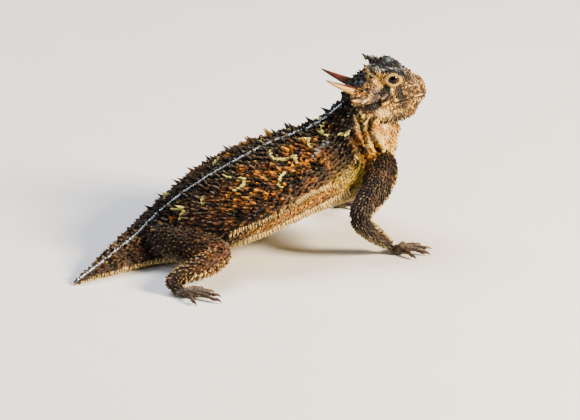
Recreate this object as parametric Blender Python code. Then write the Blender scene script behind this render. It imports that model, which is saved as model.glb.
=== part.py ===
"""Life-size still model of an adult horned lizard, raised on its forelegs with its head level.

Lengths are written in millimetres and turned to metres when the meshes are made.
X runs forward along the body, Y to the animal's left and Z up; the floor is at Z = 0.
"""

import math
import random

import bmesh
import bpy
import numpy as np
from mathutils import Matrix, Vector
from mathutils.bvhtree import BVHTree

MM = 0.001
GAP = 0.3
FUSE_VOXEL = 0.42
BODY_TRIANGLES = 3000
SLIVER_VOLUME = 3.0
RING_POINTS = 28
RING_STEPS = 4

# Trunk, neck and tail: one station per line, from the tail's tip to the back of the head.
# back x, back z, belly x, belly z, sideways shift, turn in degrees, half width,
# share of the depth above the widest line
SPINE_STATIONS = (
    (-28.4, 0.9, -28.4, 0.0, -13.8, 28.0, 0.5, 0.5),
    (-26.0, 1.7, -26.0, -0.1, -12.5, 28.0, 1.2, 0.5),
    (-22.0, 2.9, -22.0, -0.1, -10.3, 28.0, 2.2, 0.55),
    (-17.6, 4.2, -17.4, -0.2, -7.9, 29.0, 3.6, 0.6),
    (-12.0, 6.0, -11.6, -0.2, -4.7, 29.0, 5.6, 0.62),
    (-6.2, 8.0, -4.6, -0.2, -1.5, 20.0, 8.2, 0.62),
    (-0.4, 12.2, 3.4, 0.1, -0.1, 6.0, 12.0, 0.62),
    (6.4, 17.0, 12.0, 1.9, 0.0, 0.0, 16.6, 0.61),
    (13.7, 21.0, 20.4, 4.6, 0.0, 0.0, 20.2, 0.58),
    (20.5, 24.2, 27.6, 6.9, 0.0, 0.0, 21.8, 0.56),
    (27.3, 27.2, 34.8, 8.8, 0.0, 0.0, 21.2, 0.54),
    (33.9, 29.6, 42.2, 10.0, 0.0, 0.0, 18.8, 0.52),
    (39.6, 31.3, 49.6, 10.8, -0.1, 0.0, 15.8, 0.50),
    (44.2, 32.6, 57.0, 12.0, -0.4, -2.0, 13.4, 0.50),
    (47.6, 34.0, 63.4, 15.0, -0.8, -4.0, 11.6, 0.52),
    (50.2, 36.0, 67.2, 19.4, -1.3, -7.0, 10.3, 0.5),
    (52.8, 38.2, 68.8, 24.0, -1.9, -10.0, 9.4, 0.5),
    (55.2, 40.0, 69.6, 28.4, -2.4, -12.0, 8.9, 0.5),
    (57.6, 41.2, 70.6, 32.0, -2.8, -13.0, 8.4, 0.5),
)
DORSAL_SQUARENESS = 1.75
BELLY_SQUARENESS = 2.5

# Head: its own frame starts at the midpoint between the eyes' openings, heading to the animal's right.
HEAD_CENTRE = (67.5, -3.3, 0.0)
HEAD_TURN = -13.0
# forward, top z, bottom z, half width, share of the depth above the widest line
HEAD_STATIONS = (
    (-11.4, 43.6, 36.0, 5.6, 0.6),
    (-9.8, 45.2, 33.6, 8.2, 0.6),
    (-7.6, 46.6, 32.4, 9.4, 0.6),
    (-5.6, 48.7, 32.0, 9.5, 0.61),
    (-3.6, 49.0, 32.2, 9.1, 0.61),
    (-1.0, 48.7, 32.8, 8.3, 0.6),
    (2.0, 48.0, 33.6, 7.3, 0.58),
    (5.0, 47.0, 34.8, 5.9, 0.56),
    (7.4, 46.2, 36.6, 4.6, 0.55),
    (9.2, 45.2, 38.8, 3.5, 0.54),
    (10.2, 44.0, 40.6, 2.3, 0.5),
)
HEAD_SQUARENESS = 2.6
EYE_FORWARD = 0.0
EYE_SIDE = 5.45
EYE_HEIGHT = 47.1
EYE_RADIUS = 2.5
MOUTH_HEIGHT = 41.0
MOUTH_PIVOT = 2.0
MOUTH_SPREAD = 119.0
MOUTH_DROP = 0.6
MOUTH_DEPTH = 0.5
MOUTH_WIDTH = 0.35
MOUTH_STEPS = 17
MOUTH_REACH = 25.0
# Ridges of one side of the head: forward, side, height, radius across, radius up
BROW = (
    (6.6, 2.7, 45.9, 0.8, 0.6),
    (4.2, 4.1, 46.9, 1.0, 0.8),
    (1.0, 5.4, 48.1, 1.2, 0.9),
    (-2.4, 5.8, 48.9, 1.3, 0.9),
    (-4.8, 5.6, 49.5, 1.0, 0.7),
    (-6.6, 5.8, 50.4, 0.35, 0.3),
)
TEMPORAL_SHELF = (
    (1.6, 6.4, 42.4, 0.9, 0.8),
    (-3.0, 8.3, 42.2, 1.3, 1.1),
    (-7.4, 8.8, 41.7, 1.5, 1.3),
    (-10.0, 6.6, 42.2, 1.3, 1.3),
    (-10.4, 2.8, 43.2, 1.4, 1.4),
    (-10.0, 0.0, 43.2, 1.4, 1.4),
)
JAW_EDGE = (
    (7.4, 2.0, 38.8, 1.0, 1.3),
    (5.0, 4.8, 37.2, 1.4, 1.9),
    (0.0, 7.0, 36.8, 1.6, 2.1),
    (-5.0, 8.2, 37.2, 1.5, 2.0),
    (-8.4, 7.6, 38.6, 1.1, 1.4),
)
# The swelling of flesh round each eyeball: forward, side, height and its radii
ORBIT = (0.4, 4.7, 47.0)
ORBIT_RADII = (4.1, 3.0, 2.6)
# Loose folds of the neck: station, swell, first and last ring angle
NECK_FOLDS = (
    (15.2, 1.0, 60.0, 180.0),
    (16.2, 0.9, 70.0, 180.0),
    (14.0, 1.2, 66.0, 150.0),
)
FOLD_POINTS = 7
FOLD_SUNK = 0.07

# Horns: forward, side, height of the root; direction; length; root radius
OCCIPITAL_HORN = ((-9.8, 3.9, 43.1), (-0.92, 0.15, 0.345), 9.4, 1.3)
TEMPORAL_HORNS = (
    ((-8.4, 8.8, 41.9), (-0.90, 0.42, 0.0), 3.8, 1.1),
    ((-5.0, 9.0, 42.4), (-0.74, 0.44, -0.5), 3.3, 0.95),
    ((-2.6, 8.6, 42.6), (-0.5, 0.8, -0.3), 2.0, 0.75),
)
HORN_ROOT_DEPTH = 1.3
HORN_LIFT = 0.9
# share of the horn's length, share of its root radius
HORN_TAPER = ((0.0, 1.0), (0.15, 1.0), (0.4, 0.78), (0.7, 0.46), (1.0, 0.1))
SOCKET_CLEARANCE = 0.16

# Limbs of the right side; the left side mirrors them with a small change of stance.
# point x, y, z, radius across, radius up
ARM_PATH = (
    (61.2, -6.0, 22.5, 5.6, 6.2),
    (61.8, -12.0, 21.8, 4.9, 5.6),
    (58.4, -17.0, 18.0, 4.0, 4.5),
    (52.6, -20.8, 13.4, 3.1, 3.3),
    (53.6, -21.2, 9.6, 2.9, 2.9),
    (58.2, -20.6, 5.4, 2.4, 2.4),
    (61.6, -20.0, 2.8, 1.9, 1.6),
)
LEG_PATH = (
    (1.0, -3.0, 6.6, 5.6, 5.0),
    (4.2, -11.0, 6.9, 5.6, 4.9),
    (8.2, -18.4, 7.4, 4.7, 4.3),
    (10.0, -23.6, 7.3, 3.6, 3.4),
    (5.2, -26.2, 6.0, 3.4, 3.2),
    (-0.6, -26.8, 4.4, 2.6, 2.4),
    (-4.4, -27.4, 3.1, 2.0, 1.9),
    (-3.9, -29.4, 1.9, 1.9, 1.5),
)
LEFT_LEG_PATH = (
    (3.0, 3.0, 6.6, 5.6, 5.0),
    (9.0, 11.0, 6.6, 5.2, 4.6),
    (16.0, 19.0, 7.2, 4.2, 4.0),
    (21.4, 24.4, 7.4, 3.5, 3.3),
    (18.6, 27.4, 6.0, 3.0, 2.9),
    (14.2, 28.6, 4.5, 2.2, 2.1),
    (11.2, 28.9, 3.0, 1.8, 1.7),
    (11.3, 31.0, 1.8, 1.8, 1.5),
)
LEFT_ARM_REACH = -1.6
HAND_CENTRE = (64.0, -20.4, 1.2)
HAND_HEADING = -8.0
FOOT_CENTRE = (-2.6, -31.2, 1.2)
FOOT_HEADING = -40.0
LEFT_FOOT_CENTRE = (12.6, 33.2, 1.2)
LEFT_FOOT_HEADING = 35.0
PALM_RADII = (2.9, 2.5, 1.35)
SOLE_RADII = (3.5, 2.4, 1.4)
# Digits: fan angle from the heading, length without the claw
HAND_DIGITS = ((62.0, 3.3), (30.0, 4.7), (3.0, 5.6), (-26.0, 5.2), (-62.0, 3.6))
FOOT_DIGITS = ((60.0, 3.4), (32.0, 4.8), (10.0, 6.6), (-10.0, 8.2), (-46.0, 5.2))
DIGIT_RADIUS = 0.85
DIGIT_ROOT = 0.8
# share of the digit's length, height of its middle, share of its radius
DIGIT_PROFILE = ((0.0, 1.3, 1.05), (0.55, 1.45, 0.95), (1.0, 0.62, 0.82))
CLAW_LENGTH = 2.2
CLAW_RADIUS = 0.5
CLAW_OVERLAP = 0.5
CLAW_HEIGHT = 0.95
CLAW_DROP = 0.22
CLAW_SIDES = 4

# Rows of enlarged spines along the back: share of the half width, height, root radius,
# first and last station, spacing
BACK_ROWS = (
    (0.20, 2.5, 0.95, 6.6, 16.2, 5.2),
    (0.43, 2.3, 0.90, 6.2, 15.0, 5.6),
    (0.65, 2.1, 0.85, 6.8, 13.2, 5.8),
    (0.84, 1.7, 0.75, 7.4, 12.4, 5.8),
)
# Fringes: ring angle, length, root radius, first and last station, spacing
FRINGE_ROWS = (
    (84.0, 2.6, 0.85, 7.75, 12.6, 3.0),
    (106.0, 1.6, 0.60, 8.0, 12.4, 3.2),
    (94.0, 1.9, 0.75, 0.9, 5.3, 2.8),
)

SPINE_SIDES = 4
SPINE_ROOT_DEPTH = 0.8
BACK_LEAN = 0.55
FRINGE_LEAN = 0.5
FRINGE_FLATNESS = 0.7
TIP_SHARE = 0.08
# Smallest and largest share of its length that one spine of a row may have
BACK_SIZES = (0.85, 1.12)
FRINGE_SIZES = (0.85, 1.1)
# The tail's fringe starts small: a station, its share of the full size there, growth for each station
FRINGE_START = (1.5, 0.5, 0.25)
FRINGE_THINNEST = 0.7

# Thin slots that part the limbs: centre, normal, radius
HAND_SLOT = ((60.8, -20.15, 3.4), (0.787, 0.139, -0.60), 3.4)
ELBOW_SLOT = ((52.2, -20.7, 12.8), (0.144, 0.38, 0.914), 4.8)
SHOULDER_SLOT = ((57.2, -17.9, 17.1), (0.62, 0.55, 0.56), 5.6)
FOOT_SLOT = ((-4.3, -28.6, 2.6), (0.2, 0.93, 0.3), 4.2)
KNEE_SLOT = ((8.4, -23.2, 7.1), (0.34, 0.93, 0.15), 6.0)
HIP_SLOT = ((7.2, -18.1, 7.2), (0.35, 0.94, 0.0), 8.2)
LEFT_HIP_SLOT = ((18.0, 21.0, 7.0), (0.1, 0.9, -0.42), 7.6)
LEFT_KNEE_SLOT = ((20.2, 25.6, 7.0), (-0.1, 0.97, -0.22), 5.6)
LEFT_FOOT_SLOT = ((11.0, 29.9, 2.4), (-0.15, 0.93, -0.3), 4.4)
# Slots of the right arm that the left arm mirrors, and the share of its change of reach at each
ARM_SLOTS = ((HAND_SLOT, 1.0), (ELBOW_SLOT, 0.5), (SHOULDER_SLOT, 0.3))
LEG_SLOTS = (FOOT_SLOT, KNEE_SLOT, HIP_SLOT, LEFT_FOOT_SLOT, LEFT_KNEE_SLOT, LEFT_HIP_SLOT)
SLOT_SIDES = 14
# Slots across the tail, the trunk and the neck: station, radius
BODY_PLANES = ((2.2, 6.0), (3.6, 9.0), (5.0, 11.0), (10.3, 26.0), (15.25, 18.5), (17.3, 12.5))
# The block that keeps everything above the floor: middle and size
FLOOR_BLOCK = ((25.0, 0.0, 50.0), (180.0, 180.0, 100.0))


def spline_rows(table, steps):
    """Smooth the rows of a table of stations, with `steps` rows for each gap between stations."""
    rows = np.asarray(table, float)
    last = len(rows) - 1
    shares = np.linspace(0.0, last, last * steps + 1)
    return np.array([spline_row(rows, share) for share in shares])


def spline_row(rows, share):
    """One row read between the stations of a table, on a smooth curve through them all."""
    last = len(rows) - 1
    first = min(int(share), last - 1)
    t = share - first
    before, here = rows[max(first - 1, 0)], rows[first]
    there, after = rows[first + 1], rows[min(first + 2, last)]
    slope_here = (there - before) * 0.5
    slope_there = (after - here) * 0.5
    return (
        here * (2 * t**3 - 3 * t**2 + 1)
        + slope_here * (t**3 - 2 * t**2 + t)
        + there * (-2 * t**3 + 3 * t**2)
        + slope_there * (t**3 - t**2)
    )


def rounded(value, squareness):
    """A cosine or sine pulled towards a square, for a superellipse."""
    return math.copysign(abs(value) ** (2.0 / squareness), value)


def section_point(top, bottom, left, half_width, share, angle, squareness):
    """A point on a body section: 0 degrees on the back, 90 on the animal's right, 180 on the belly."""
    top, bottom = Vector(top), Vector(bottom)
    depth = (top - bottom).length
    up = (top - bottom).normalized()
    widest = top - up * depth * share
    turn = math.radians(angle)
    above, below = squareness
    if math.cos(turn) >= 0:
        rise, power = depth * share, above
    else:
        rise, power = depth * (1.0 - share), below
    height = rounded(math.cos(turn), power) * rise
    side = rounded(math.sin(turn), power) * half_width
    return widest + up * height - left * side


def spine_point(station, angle, side=1.0):
    """A point on the trunk's, neck's or tail's surface; side -1 gives the animal's left."""
    row = spline_row(np.asarray(SPINE_STATIONS, float), station)
    turn = math.radians(row[5])
    left = Vector((-math.sin(turn), math.cos(turn), 0.0))
    shift = row[4]
    lean = (row[2] - row[0]) * math.tan(turn) * 0.5
    return section_point(
        (row[0], shift, row[1]),
        (row[2], shift + lean, row[3]),
        left,
        row[6] * side,
        row[7],
        angle,
        (DORSAL_SQUARENESS, BELLY_SQUARENESS),
    )


def head_point(forward, side, height):
    """A point of the head's own frame, placed on the body."""
    turn = math.radians(HEAD_TURN)
    return Vector((
        HEAD_CENTRE[0] + forward * math.cos(turn) - side * math.sin(turn),
        HEAD_CENTRE[1] + forward * math.sin(turn) + side * math.cos(turn),
        height,
    ))


def head_direction(forward, side, height):
    """A direction of the head's own frame, turned with the head."""
    return (head_point(forward, side, height) - head_point(0.0, 0.0, 0.0)).normalized()


def add_rings(shape, rings):
    """Add a closed tube through a list of rings of points, with flat ends."""
    loops = [[shape.verts.new(point) for point in ring] for ring in rings]
    for one, two in zip(loops, loops[1:]):
        for index in range(len(one)):
            following = (index + 1) % len(one)
            shape.faces.new((one[index], one[following], two[following], two[index]))
    shape.faces.new(loops[0][::-1])
    shape.faces.new(loops[-1])


def add_spine(shape):
    """Add the tail, trunk and neck as one tube."""
    last = len(SPINE_STATIONS) - 1
    angles = [360.0 * index / RING_POINTS for index in range(RING_POINTS)]
    stations = np.linspace(0.0, last, last * RING_STEPS + 1)
    add_rings(shape, [[spine_point(s, angle) for angle in angles] for s in stations])


def add_head(shape):
    """Add the skull's main mass with its blunt snout."""
    left = head_direction(0.0, 1.0, 0.0)
    rings = []
    for forward, top, bottom, width, share in spline_rows(HEAD_STATIONS, RING_STEPS):
        ring = [
            section_point(
                head_point(forward, 0.0, top),
                head_point(forward, 0.0, bottom),
                left,
                width,
                share,
                360.0 * index / RING_POINTS,
                (HEAD_SQUARENESS, HEAD_SQUARENESS),
            )
            for index in range(RING_POINTS)
        ]
        rings.append(ring)
    add_rings(shape, rings)


def add_path(shape, points, sides=14, steps=4):
    """Add a rounded tube along a path; each row is x, y, z, radius across and radius up."""
    rows = spline_rows(points, steps)
    centres = [Vector(row[:3]) for row in rows]
    rings = []
    for index, row in enumerate(rows):
        before = centres[max(index - 1, 0)]
        after = centres[min(index + 1, len(rows) - 1)]
        along = (after - before).normalized()
        across = along.cross(Vector((0.0, 0.0, 1.0)))
        if across.length < 0.2:
            across = Vector((0.0, 1.0, 0.0)) - along * along.y
        across.normalize()
        up = across.cross(along)
        ring = []
        for step in range(sides):
            turn = 2.0 * math.pi * step / sides
            ring.append(
                centres[index]
                + across * math.cos(turn) * row[3]
                + up * math.sin(turn) * row[4]
            )
        rings.append(ring)
    add_rings(shape, rings)


def add_ball(shape, centre, radii, heading=0.0, tilt=0.0, fineness=3):
    """Add an ellipsoid with its long side along a heading."""
    place = (
        Matrix.Translation(Vector(centre))
        @ Matrix.Rotation(math.radians(heading), 4, "Z")
        @ Matrix.Rotation(math.radians(tilt), 4, "Y")
        @ Matrix.Diagonal((*radii, 1.0))
    )
    bmesh.ops.create_icosphere(shape, subdivisions=fineness, radius=1.0, matrix=place)


def add_cone(shape, root, direction, length, radius, sides, flat=1.0):
    """Add a closed pointed spine that grows from a root along a direction."""
    along = Vector(direction).normalized()
    across = along.cross(Vector((0.0, 0.0, 1.0)))
    if across.length < 0.1:
        across = Vector((1.0, 0.0, 0.0))
    across.normalize()
    up = across.cross(along)
    rings = []
    for reach, size in ((0.0, radius), (length, radius * TIP_SHARE)):
        ring = []
        for index in range(sides):
            turn = 2.0 * math.pi * (index + 0.5) / sides
            ring.append(
                Vector(root)
                + along * reach
                + across * math.cos(turn) * size
                + up * math.sin(turn) * size * flat
            )
        rings.append(ring)
    add_rings(shape, rings)


def mirrored_path(points, forward_change):
    """The left limb's path: the right one across the body's middle, with a change of reach."""
    last = len(points) - 1
    rows = []
    for index, row in enumerate(points):
        share = index / last
        rows.append((row[0] + forward_change * share, -row[1], *row[2:]))
    return rows


def ridge_path(ridge, side):
    """A ridge of the head as path rows, on one side."""
    return [(*head_point(row[0], side * row[1], row[2]), row[3], row[4]) for row in ridge]


def add_brow_and_shelves(shape):
    """Add the bony brow over each eye, the temporal shelf, the jaw's edge and the orbit."""
    for side in (-1.0, 1.0):
        for ridge in (BROW, TEMPORAL_SHELF, JAW_EDGE):
            add_path(shape, ridge_path(ridge, side), sides=12)
        centre = head_point(ORBIT[0], side * ORBIT[1], ORBIT[2])
        add_ball(shape, centre, ORBIT_RADII, HEAD_TURN, fineness=2)


def limb_sets():
    """Every limb's path, foot centre, heading, digits, sole size and side."""
    sets = []
    for side in (1.0, -1.0):
        reach = 0.0 if side > 0 else LEFT_ARM_REACH
        arm = ARM_PATH if side > 0 else mirrored_path(ARM_PATH, reach)
        leg = LEG_PATH if side > 0 else LEFT_LEG_PATH
        hand = (HAND_CENTRE[0] + reach, HAND_CENTRE[1] * side, HAND_CENTRE[2])
        foot = FOOT_CENTRE if side > 0 else LEFT_FOOT_CENTRE
        foot_heading = FOOT_HEADING if side > 0 else LEFT_FOOT_HEADING
        sets.append((arm, hand, HAND_HEADING * side, HAND_DIGITS, PALM_RADII, side))
        sets.append((leg, foot, foot_heading, FOOT_DIGITS, SOLE_RADII, side))
    return sets


def digit_direction(heading, spread, side):
    """The level direction in which one digit points."""
    turn = math.radians(heading + spread * side)
    return Vector((math.cos(turn), math.sin(turn), 0.0))


def add_limbs(shape):
    """Add the four limbs with their palms, soles and digits."""
    for path, centre, heading, digits, radii, side in limb_sets():
        add_path(shape, path)
        add_ball(shape, centre, radii, heading)
        for spread, length in digits:
            out = digit_direction(heading, spread, side)
            reach = radii[1] - DIGIT_ROOT + length
            rows = []
            for share, height, size in DIGIT_PROFILE:
                point = Vector(centre) + out * (DIGIT_ROOT + reach * share)
                radius = DIGIT_RADIUS * size
                rows.append((point.x, point.y, height, radius, radius))
            add_path(shape, rows, sides=10)


def add_claws(shape):
    """Add a curved-down claw at the end of every digit."""
    drop = Vector((0.0, 0.0, -CLAW_DROP))
    for _, centre, heading, digits, radii, side in limb_sets():
        for spread, length in digits:
            out = digit_direction(heading, spread, side)
            root = Vector(centre) + out * (radii[1] + length - CLAW_OVERLAP)
            root.z = CLAW_HEIGHT
            add_cone(shape, root, out + drop, CLAW_LENGTH, CLAW_RADIUS, CLAW_SIDES)


def add_neck_folds(shape):
    """Add the loose folds of skin across the throat and down the side of the neck."""
    for station, swell, start, end in NECK_FOLDS:
        middle = (spine_point(station, 0.0) + spine_point(station, 180.0)) * 0.5
        for side in (-1.0, 1.0):
            rows = []
            for angle in np.linspace(start, end, FOLD_POINTS):
                point = spine_point(station, angle, side)
                inside = point + (middle - point) * FOLD_SUNK
                rows.append((*inside, swell, swell))
            add_path(shape, rows, sides=10, steps=2)


def surface_normal(station, angle, side):
    """The outward direction of the trunk's surface at a station and ring angle."""
    here = spine_point(station, angle, side)
    along = spine_point(min(station + 0.05, len(SPINE_STATIONS) - 1.001), angle, side) - here
    around = spine_point(station, angle + 2.0, side) - here
    normal = along.cross(around) * side
    middle = (spine_point(station, 0.0) + spine_point(station, 180.0)) * 0.5
    if normal.dot(here - middle) < 0:
        normal = -normal
    return normal.normalized(), along.normalized()


def stations_every(first, last, spacing, angle):
    """Stations between two limits whose surface points lie a set distance apart."""
    found, travelled, previous = [first], 0.0, spine_point(first, angle)
    for station in np.arange(first, last, 0.02):
        point = spine_point(station, angle)
        travelled += (point - previous).length
        previous = point
        if travelled >= spacing:
            found.append(float(station))
            travelled = 0.0
    return found


def add_trunk_spines(shape, surface, chance):
    """Add the rows of enlarged spines on the back and the pointed fringes along the flanks."""
    spots = []
    for share, height, radius, first, last, spacing in BACK_ROWS:
        angle = math.degrees(math.asin(share))
        for station in stations_every(first, last, spacing, angle):
            size = height * chance.uniform(*BACK_SIZES)
            spots.append((station, angle, size, radius, BACK_LEAN, 1.0))
    start, share, growth = FRINGE_START
    for angle, length, radius, first, last, spacing in FRINGE_ROWS:
        for station in stations_every(first, last, spacing, angle):
            fade = min(1.0, share + (station - start) * growth)
            size = length * fade * chance.uniform(*FRINGE_SIZES)
            thick = radius * max(fade, FRINGE_THINNEST)
            spots.append((station, angle, size, thick, FRINGE_LEAN, FRINGE_FLATNESS))
    for station, angle, size, radius, lean, flat in spots:
        for side in (1.0, -1.0):
            normal, along = surface_normal(station, angle, side)
            near = surface.find_nearest(spine_point(station, angle, side) * MM)
            root = Vector(near[0]) / MM
            direction = normal - along * lean
            root = root - direction.normalized() * SPINE_ROOT_DEPTH
            add_cone(shape, root, direction, size + SPINE_ROOT_DEPTH, radius, SPINE_SIDES, flat)


def mesh_object(name, shape):
    """Turn a shape in millimetres into an object in metres."""
    bmesh.ops.scale(shape, vec=(MM, MM, MM), verts=shape.verts)
    bmesh.ops.recalc_face_normals(shape, faces=shape.faces)
    mesh = bpy.data.meshes.new(name)
    shape.to_mesh(mesh)
    shape.free()
    item = bpy.data.objects.new(name, mesh)
    bpy.context.scene.collection.objects.link(item)
    return item


def bake_modifiers(item):
    """Replace an object's mesh with its evaluated one and drop the modifiers."""
    bpy.context.view_layer.update()
    graph = bpy.context.evaluated_depsgraph_get()
    mesh = bpy.data.meshes.new_from_object(item.evaluated_get(graph))
    item.modifiers.clear()
    item.data = mesh


def remove_object(item):
    """Take a cutter or a used piece out of the scene."""
    bpy.data.objects.remove(item, do_unlink=True)


def cut(item, tool, operation):
    """Apply one exact boolean and remove the tool."""
    step = item.modifiers.new("cut", "BOOLEAN")
    step.object = tool
    step.operation = operation
    step.solver = "EXACT"
    step.use_self = True
    bake_modifiers(item)
    remove_object(tool)


def fused_body():
    """The whole lizard's flesh as one smooth closed solid, before it is parted."""
    shape = bmesh.new()
    add_spine(shape)
    add_head(shape)
    add_brow_and_shelves(shape)
    add_limbs(shape)
    add_neck_folds(shape)
    body = mesh_object("body", shape)
    fuse = body.modifiers.new("fuse", "REMESH")
    fuse.mode = "VOXEL"
    fuse.voxel_size = FUSE_VOXEL * MM
    fuse.adaptivity = 0.0
    smooth = body.modifiers.new("smooth", "SMOOTH")
    smooth.factor = 0.5
    smooth.iterations = 3
    bake_modifiers(body)
    body.data.calc_loop_triangles()
    lighten = body.modifiers.new("lighten", "DECIMATE")
    lighten.ratio = BODY_TRIANGLES / len(body.data.loop_triangles)
    bake_modifiers(body)
    return body


def floor_cut(body):
    """Trim everything that would sink under the floor, which leaves small flats to stand on."""
    shape = bmesh.new()
    middle, size = FLOOR_BLOCK
    place = Matrix.Translation(middle) @ Matrix.Diagonal((*size, 1.0))
    bmesh.ops.create_cube(shape, size=1.0, matrix=place)
    cut(body, mesh_object("above_floor", shape), "INTERSECT")


def mouth_cut(body, surface):
    """Score the closed mouth's line into the surface, from corner to corner around the snout."""
    shape = bmesh.new()
    rings = []
    for share in np.linspace(-1.0, 1.0, MOUTH_STEPS):
        turn = math.radians(MOUTH_SPREAD) * share
        height = MOUTH_HEIGHT - MOUTH_DROP * abs(share) ** 3
        out = head_direction(math.cos(turn), math.sin(turn), 0.0)
        start = head_point(MOUTH_PIVOT, 0.0, height)
        hit = surface.ray_cast((start + out * MOUTH_REACH) * MM, -out)[0] / MM
        half = Vector((0.0, 0.0, MOUTH_WIDTH / 2))
        rings.append([
            hit + out + half,
            hit + out - half,
            hit - out * MOUTH_DEPTH - half * 0.6,
            hit - out * MOUTH_DEPTH + half * 0.6,
        ])
    add_rings(shape, rings)
    cut(body, mesh_object("mouth_line", shape), "DIFFERENCE")


def horn_shape(shape, horn, side, clearance):
    """Add one horn, round and tapering, with its root sunk in the head."""
    (forward, out, height), direction, length, radius = horn
    along = head_direction(direction[0], direction[1] * side, direction[2])
    root = head_point(forward, out * side, height) - along * HORN_ROOT_DEPTH
    if clearance:
        root = root - along * clearance
    total = length + HORN_ROOT_DEPTH
    lift = Vector((0.0, 0.0, HORN_LIFT))
    rows = []
    for share, size in HORN_TAPER:
        point = root + along * total * share + lift * share * share
        reach = radius * size + clearance
        rows.append((*point, reach, reach))
    add_path(shape, rows, sides=8, steps=1)


def horn_list():
    """Every horn's name, sizes and side."""
    horns = []
    for label, side in (("right", -1.0), ("left", 1.0)):
        horns.append((f"occipital_horn_{label}", OCCIPITAL_HORN, side))
        for index, horn in enumerate(TEMPORAL_HORNS):
            horns.append((f"temporal_horn_{index + 1}_{label}", horn, side))
    return horns


def slot_list():
    """Every thin slot that parts the body: centre, normal and radius."""
    slots = list(LEG_SLOTS)
    for (centre, normal, radius), share in ARM_SLOTS:
        moved = (centre[0] + LEFT_ARM_REACH * share, -centre[1], centre[2])
        slots.append((centre, normal, radius))
        slots.append((moved, (normal[0], -normal[1], normal[2]), radius))
    slots += [plane_slot(station, radius) for station, radius in BODY_PLANES]
    return slots


def plane_slot(station, radius):
    """A thin round plate across the whole body at one station."""
    top, bottom = spine_point(station, 0.0), spine_point(station, 180.0)
    left = (spine_point(station, 90.0, -1.0) - spine_point(station, 90.0)).normalized()
    return (top + bottom) * 0.5, (top - bottom).cross(left).normalized(), radius


def part_body(body):
    """Cut the slots and return the loose pieces that they leave."""
    shape = bmesh.new()
    for centre, normal, radius in slot_list():
        turn = Vector(normal).to_track_quat("Z", "Y").to_matrix().to_4x4()
        bmesh.ops.create_cone(
            shape,
            cap_ends=True,
            segments=SLOT_SIDES,
            radius1=radius,
            radius2=radius,
            depth=GAP,
            matrix=Matrix.Translation(Vector(centre)) @ turn,
        )
    cut(body, mesh_object("slots", shape), "DIFFERENCE")
    return loose_pieces(body)


def loose_pieces(body):
    """Split an object into one shape for each connected solid, each with its volume."""
    shape = bmesh.new()
    shape.from_mesh(body.data)
    bmesh.ops.triangulate(shape, faces=shape.faces)
    bmesh.ops.dissolve_degenerate(shape, dist=1e-7, edges=shape.edges)
    unseen = set(shape.verts)
    groups = []
    while unseen:
        start = unseen.pop()
        group = {start}
        front = [start]
        while front:
            vertex = front.pop()
            for edge in vertex.link_edges:
                other = edge.other_vert(vertex)
                if other in unseen:
                    unseen.discard(other)
                    group.add(other)
                    front.append(other)
        groups.append(group)
    pieces = []
    for group in groups:
        piece = bmesh.new()
        copies = {vertex: piece.verts.new(vertex.co) for vertex in group}
        done = set()
        for vertex in group:
            for face in vertex.link_faces:
                if face not in done:
                    done.add(face)
                    piece.faces.new([copies[corner] for corner in face.verts])
        piece.normal_update()
        pieces.append((piece, piece.calc_volume()))
    shape.free()
    remove_object(body)
    return pieces


# Where each piece's middle lies, in millimetres; the nearest loose piece takes the name.
PIECE_MIDDLES = {
    "tail_tip": (-24.5, -11.7, 1.2),
    "tail_mid": (-17.6, -7.9, 2.2),
    "tail_base": (-10.0, -3.6, 3.4),
    "trunk_rear": (13.0, 0.0, 12.0),
    "trunk_fore": (38.0, 0.0, 20.0),
    "neck": (58.5, -1.0, 27.5),
    "head": (66.0, -3.0, 41.0),
    "upper_arm_right": (55.0, -18.0, 16.5),
    "forearm_right": (56.0, -21.0, 8.0),
    "hand_right": (66.5, -21.0, 1.3),
    "thigh_right": (8.2, -20.0, 7.2),
    "shank_right": (2.6, -27.5, 5.4),
    "foot_right": (-1.5, -31.5, 1.5),
    "upper_arm_left": (54.5, 18.0, 16.5),
    "forearm_left": (55.0, 21.0, 8.0),
    "hand_left": (65.0, 21.0, 1.3),
    "thigh_left": (18.8, 23.0, 7.2),
    "shank_left": (15.0, 26.8, 5.2),
    "foot_left": (13.6, 32.5, 1.5),
}

# Where each piece turns or joins the next one, used as its origin.
PIECE_ORIGINS = {
    "tail_tip": (-21.0, -9.8, 1.5),
    "tail_mid": (-14.2, -6.0, 2.6),
    "tail_base": (-6.2, -1.5, 4.0),
    "trunk_rear": (3.0, 0.0, 8.0),
    "trunk_fore": (30.0, 0.0, 18.0),
    "neck": (52.0, -0.8, 25.0),
    "head": (60.5, -2.0, 36.0),
    "upper_arm_right": (57.2, -17.9, 17.1),
    "forearm_right": (52.2, -20.7, 12.8),
    "hand_right": (60.8, -20.15, 3.4),
    "thigh_right": (7.2, -18.1, 7.2),
    "shank_right": (8.4, -23.2, 7.1),
    "foot_right": (-4.3, -28.6, 2.6),
    "upper_arm_left": (56.7, 17.9, 17.1),
    "forearm_left": (51.4, 20.7, 12.8),
    "hand_left": (59.2, 20.15, 3.4),
    "thigh_left": (18.0, 21.0, 7.0),
    "shank_left": (20.2, 25.6, 7.0),
    "foot_left": (11.0, 29.9, 2.4),
}

# Red, green, blue and roughness for each kind of piece.
SKIN_COLOURS = {
    "trunk_skin": (0.20, 0.13, 0.075, 0.72),
    "head_skin": (0.36, 0.22, 0.12, 0.68),
    "limb_skin": (0.17, 0.11, 0.07, 0.74),
    "horn_keratin": (0.30, 0.12, 0.06, 0.45),
    "eye_cornea": (0.012, 0.010, 0.010, 0.08),
}


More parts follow.
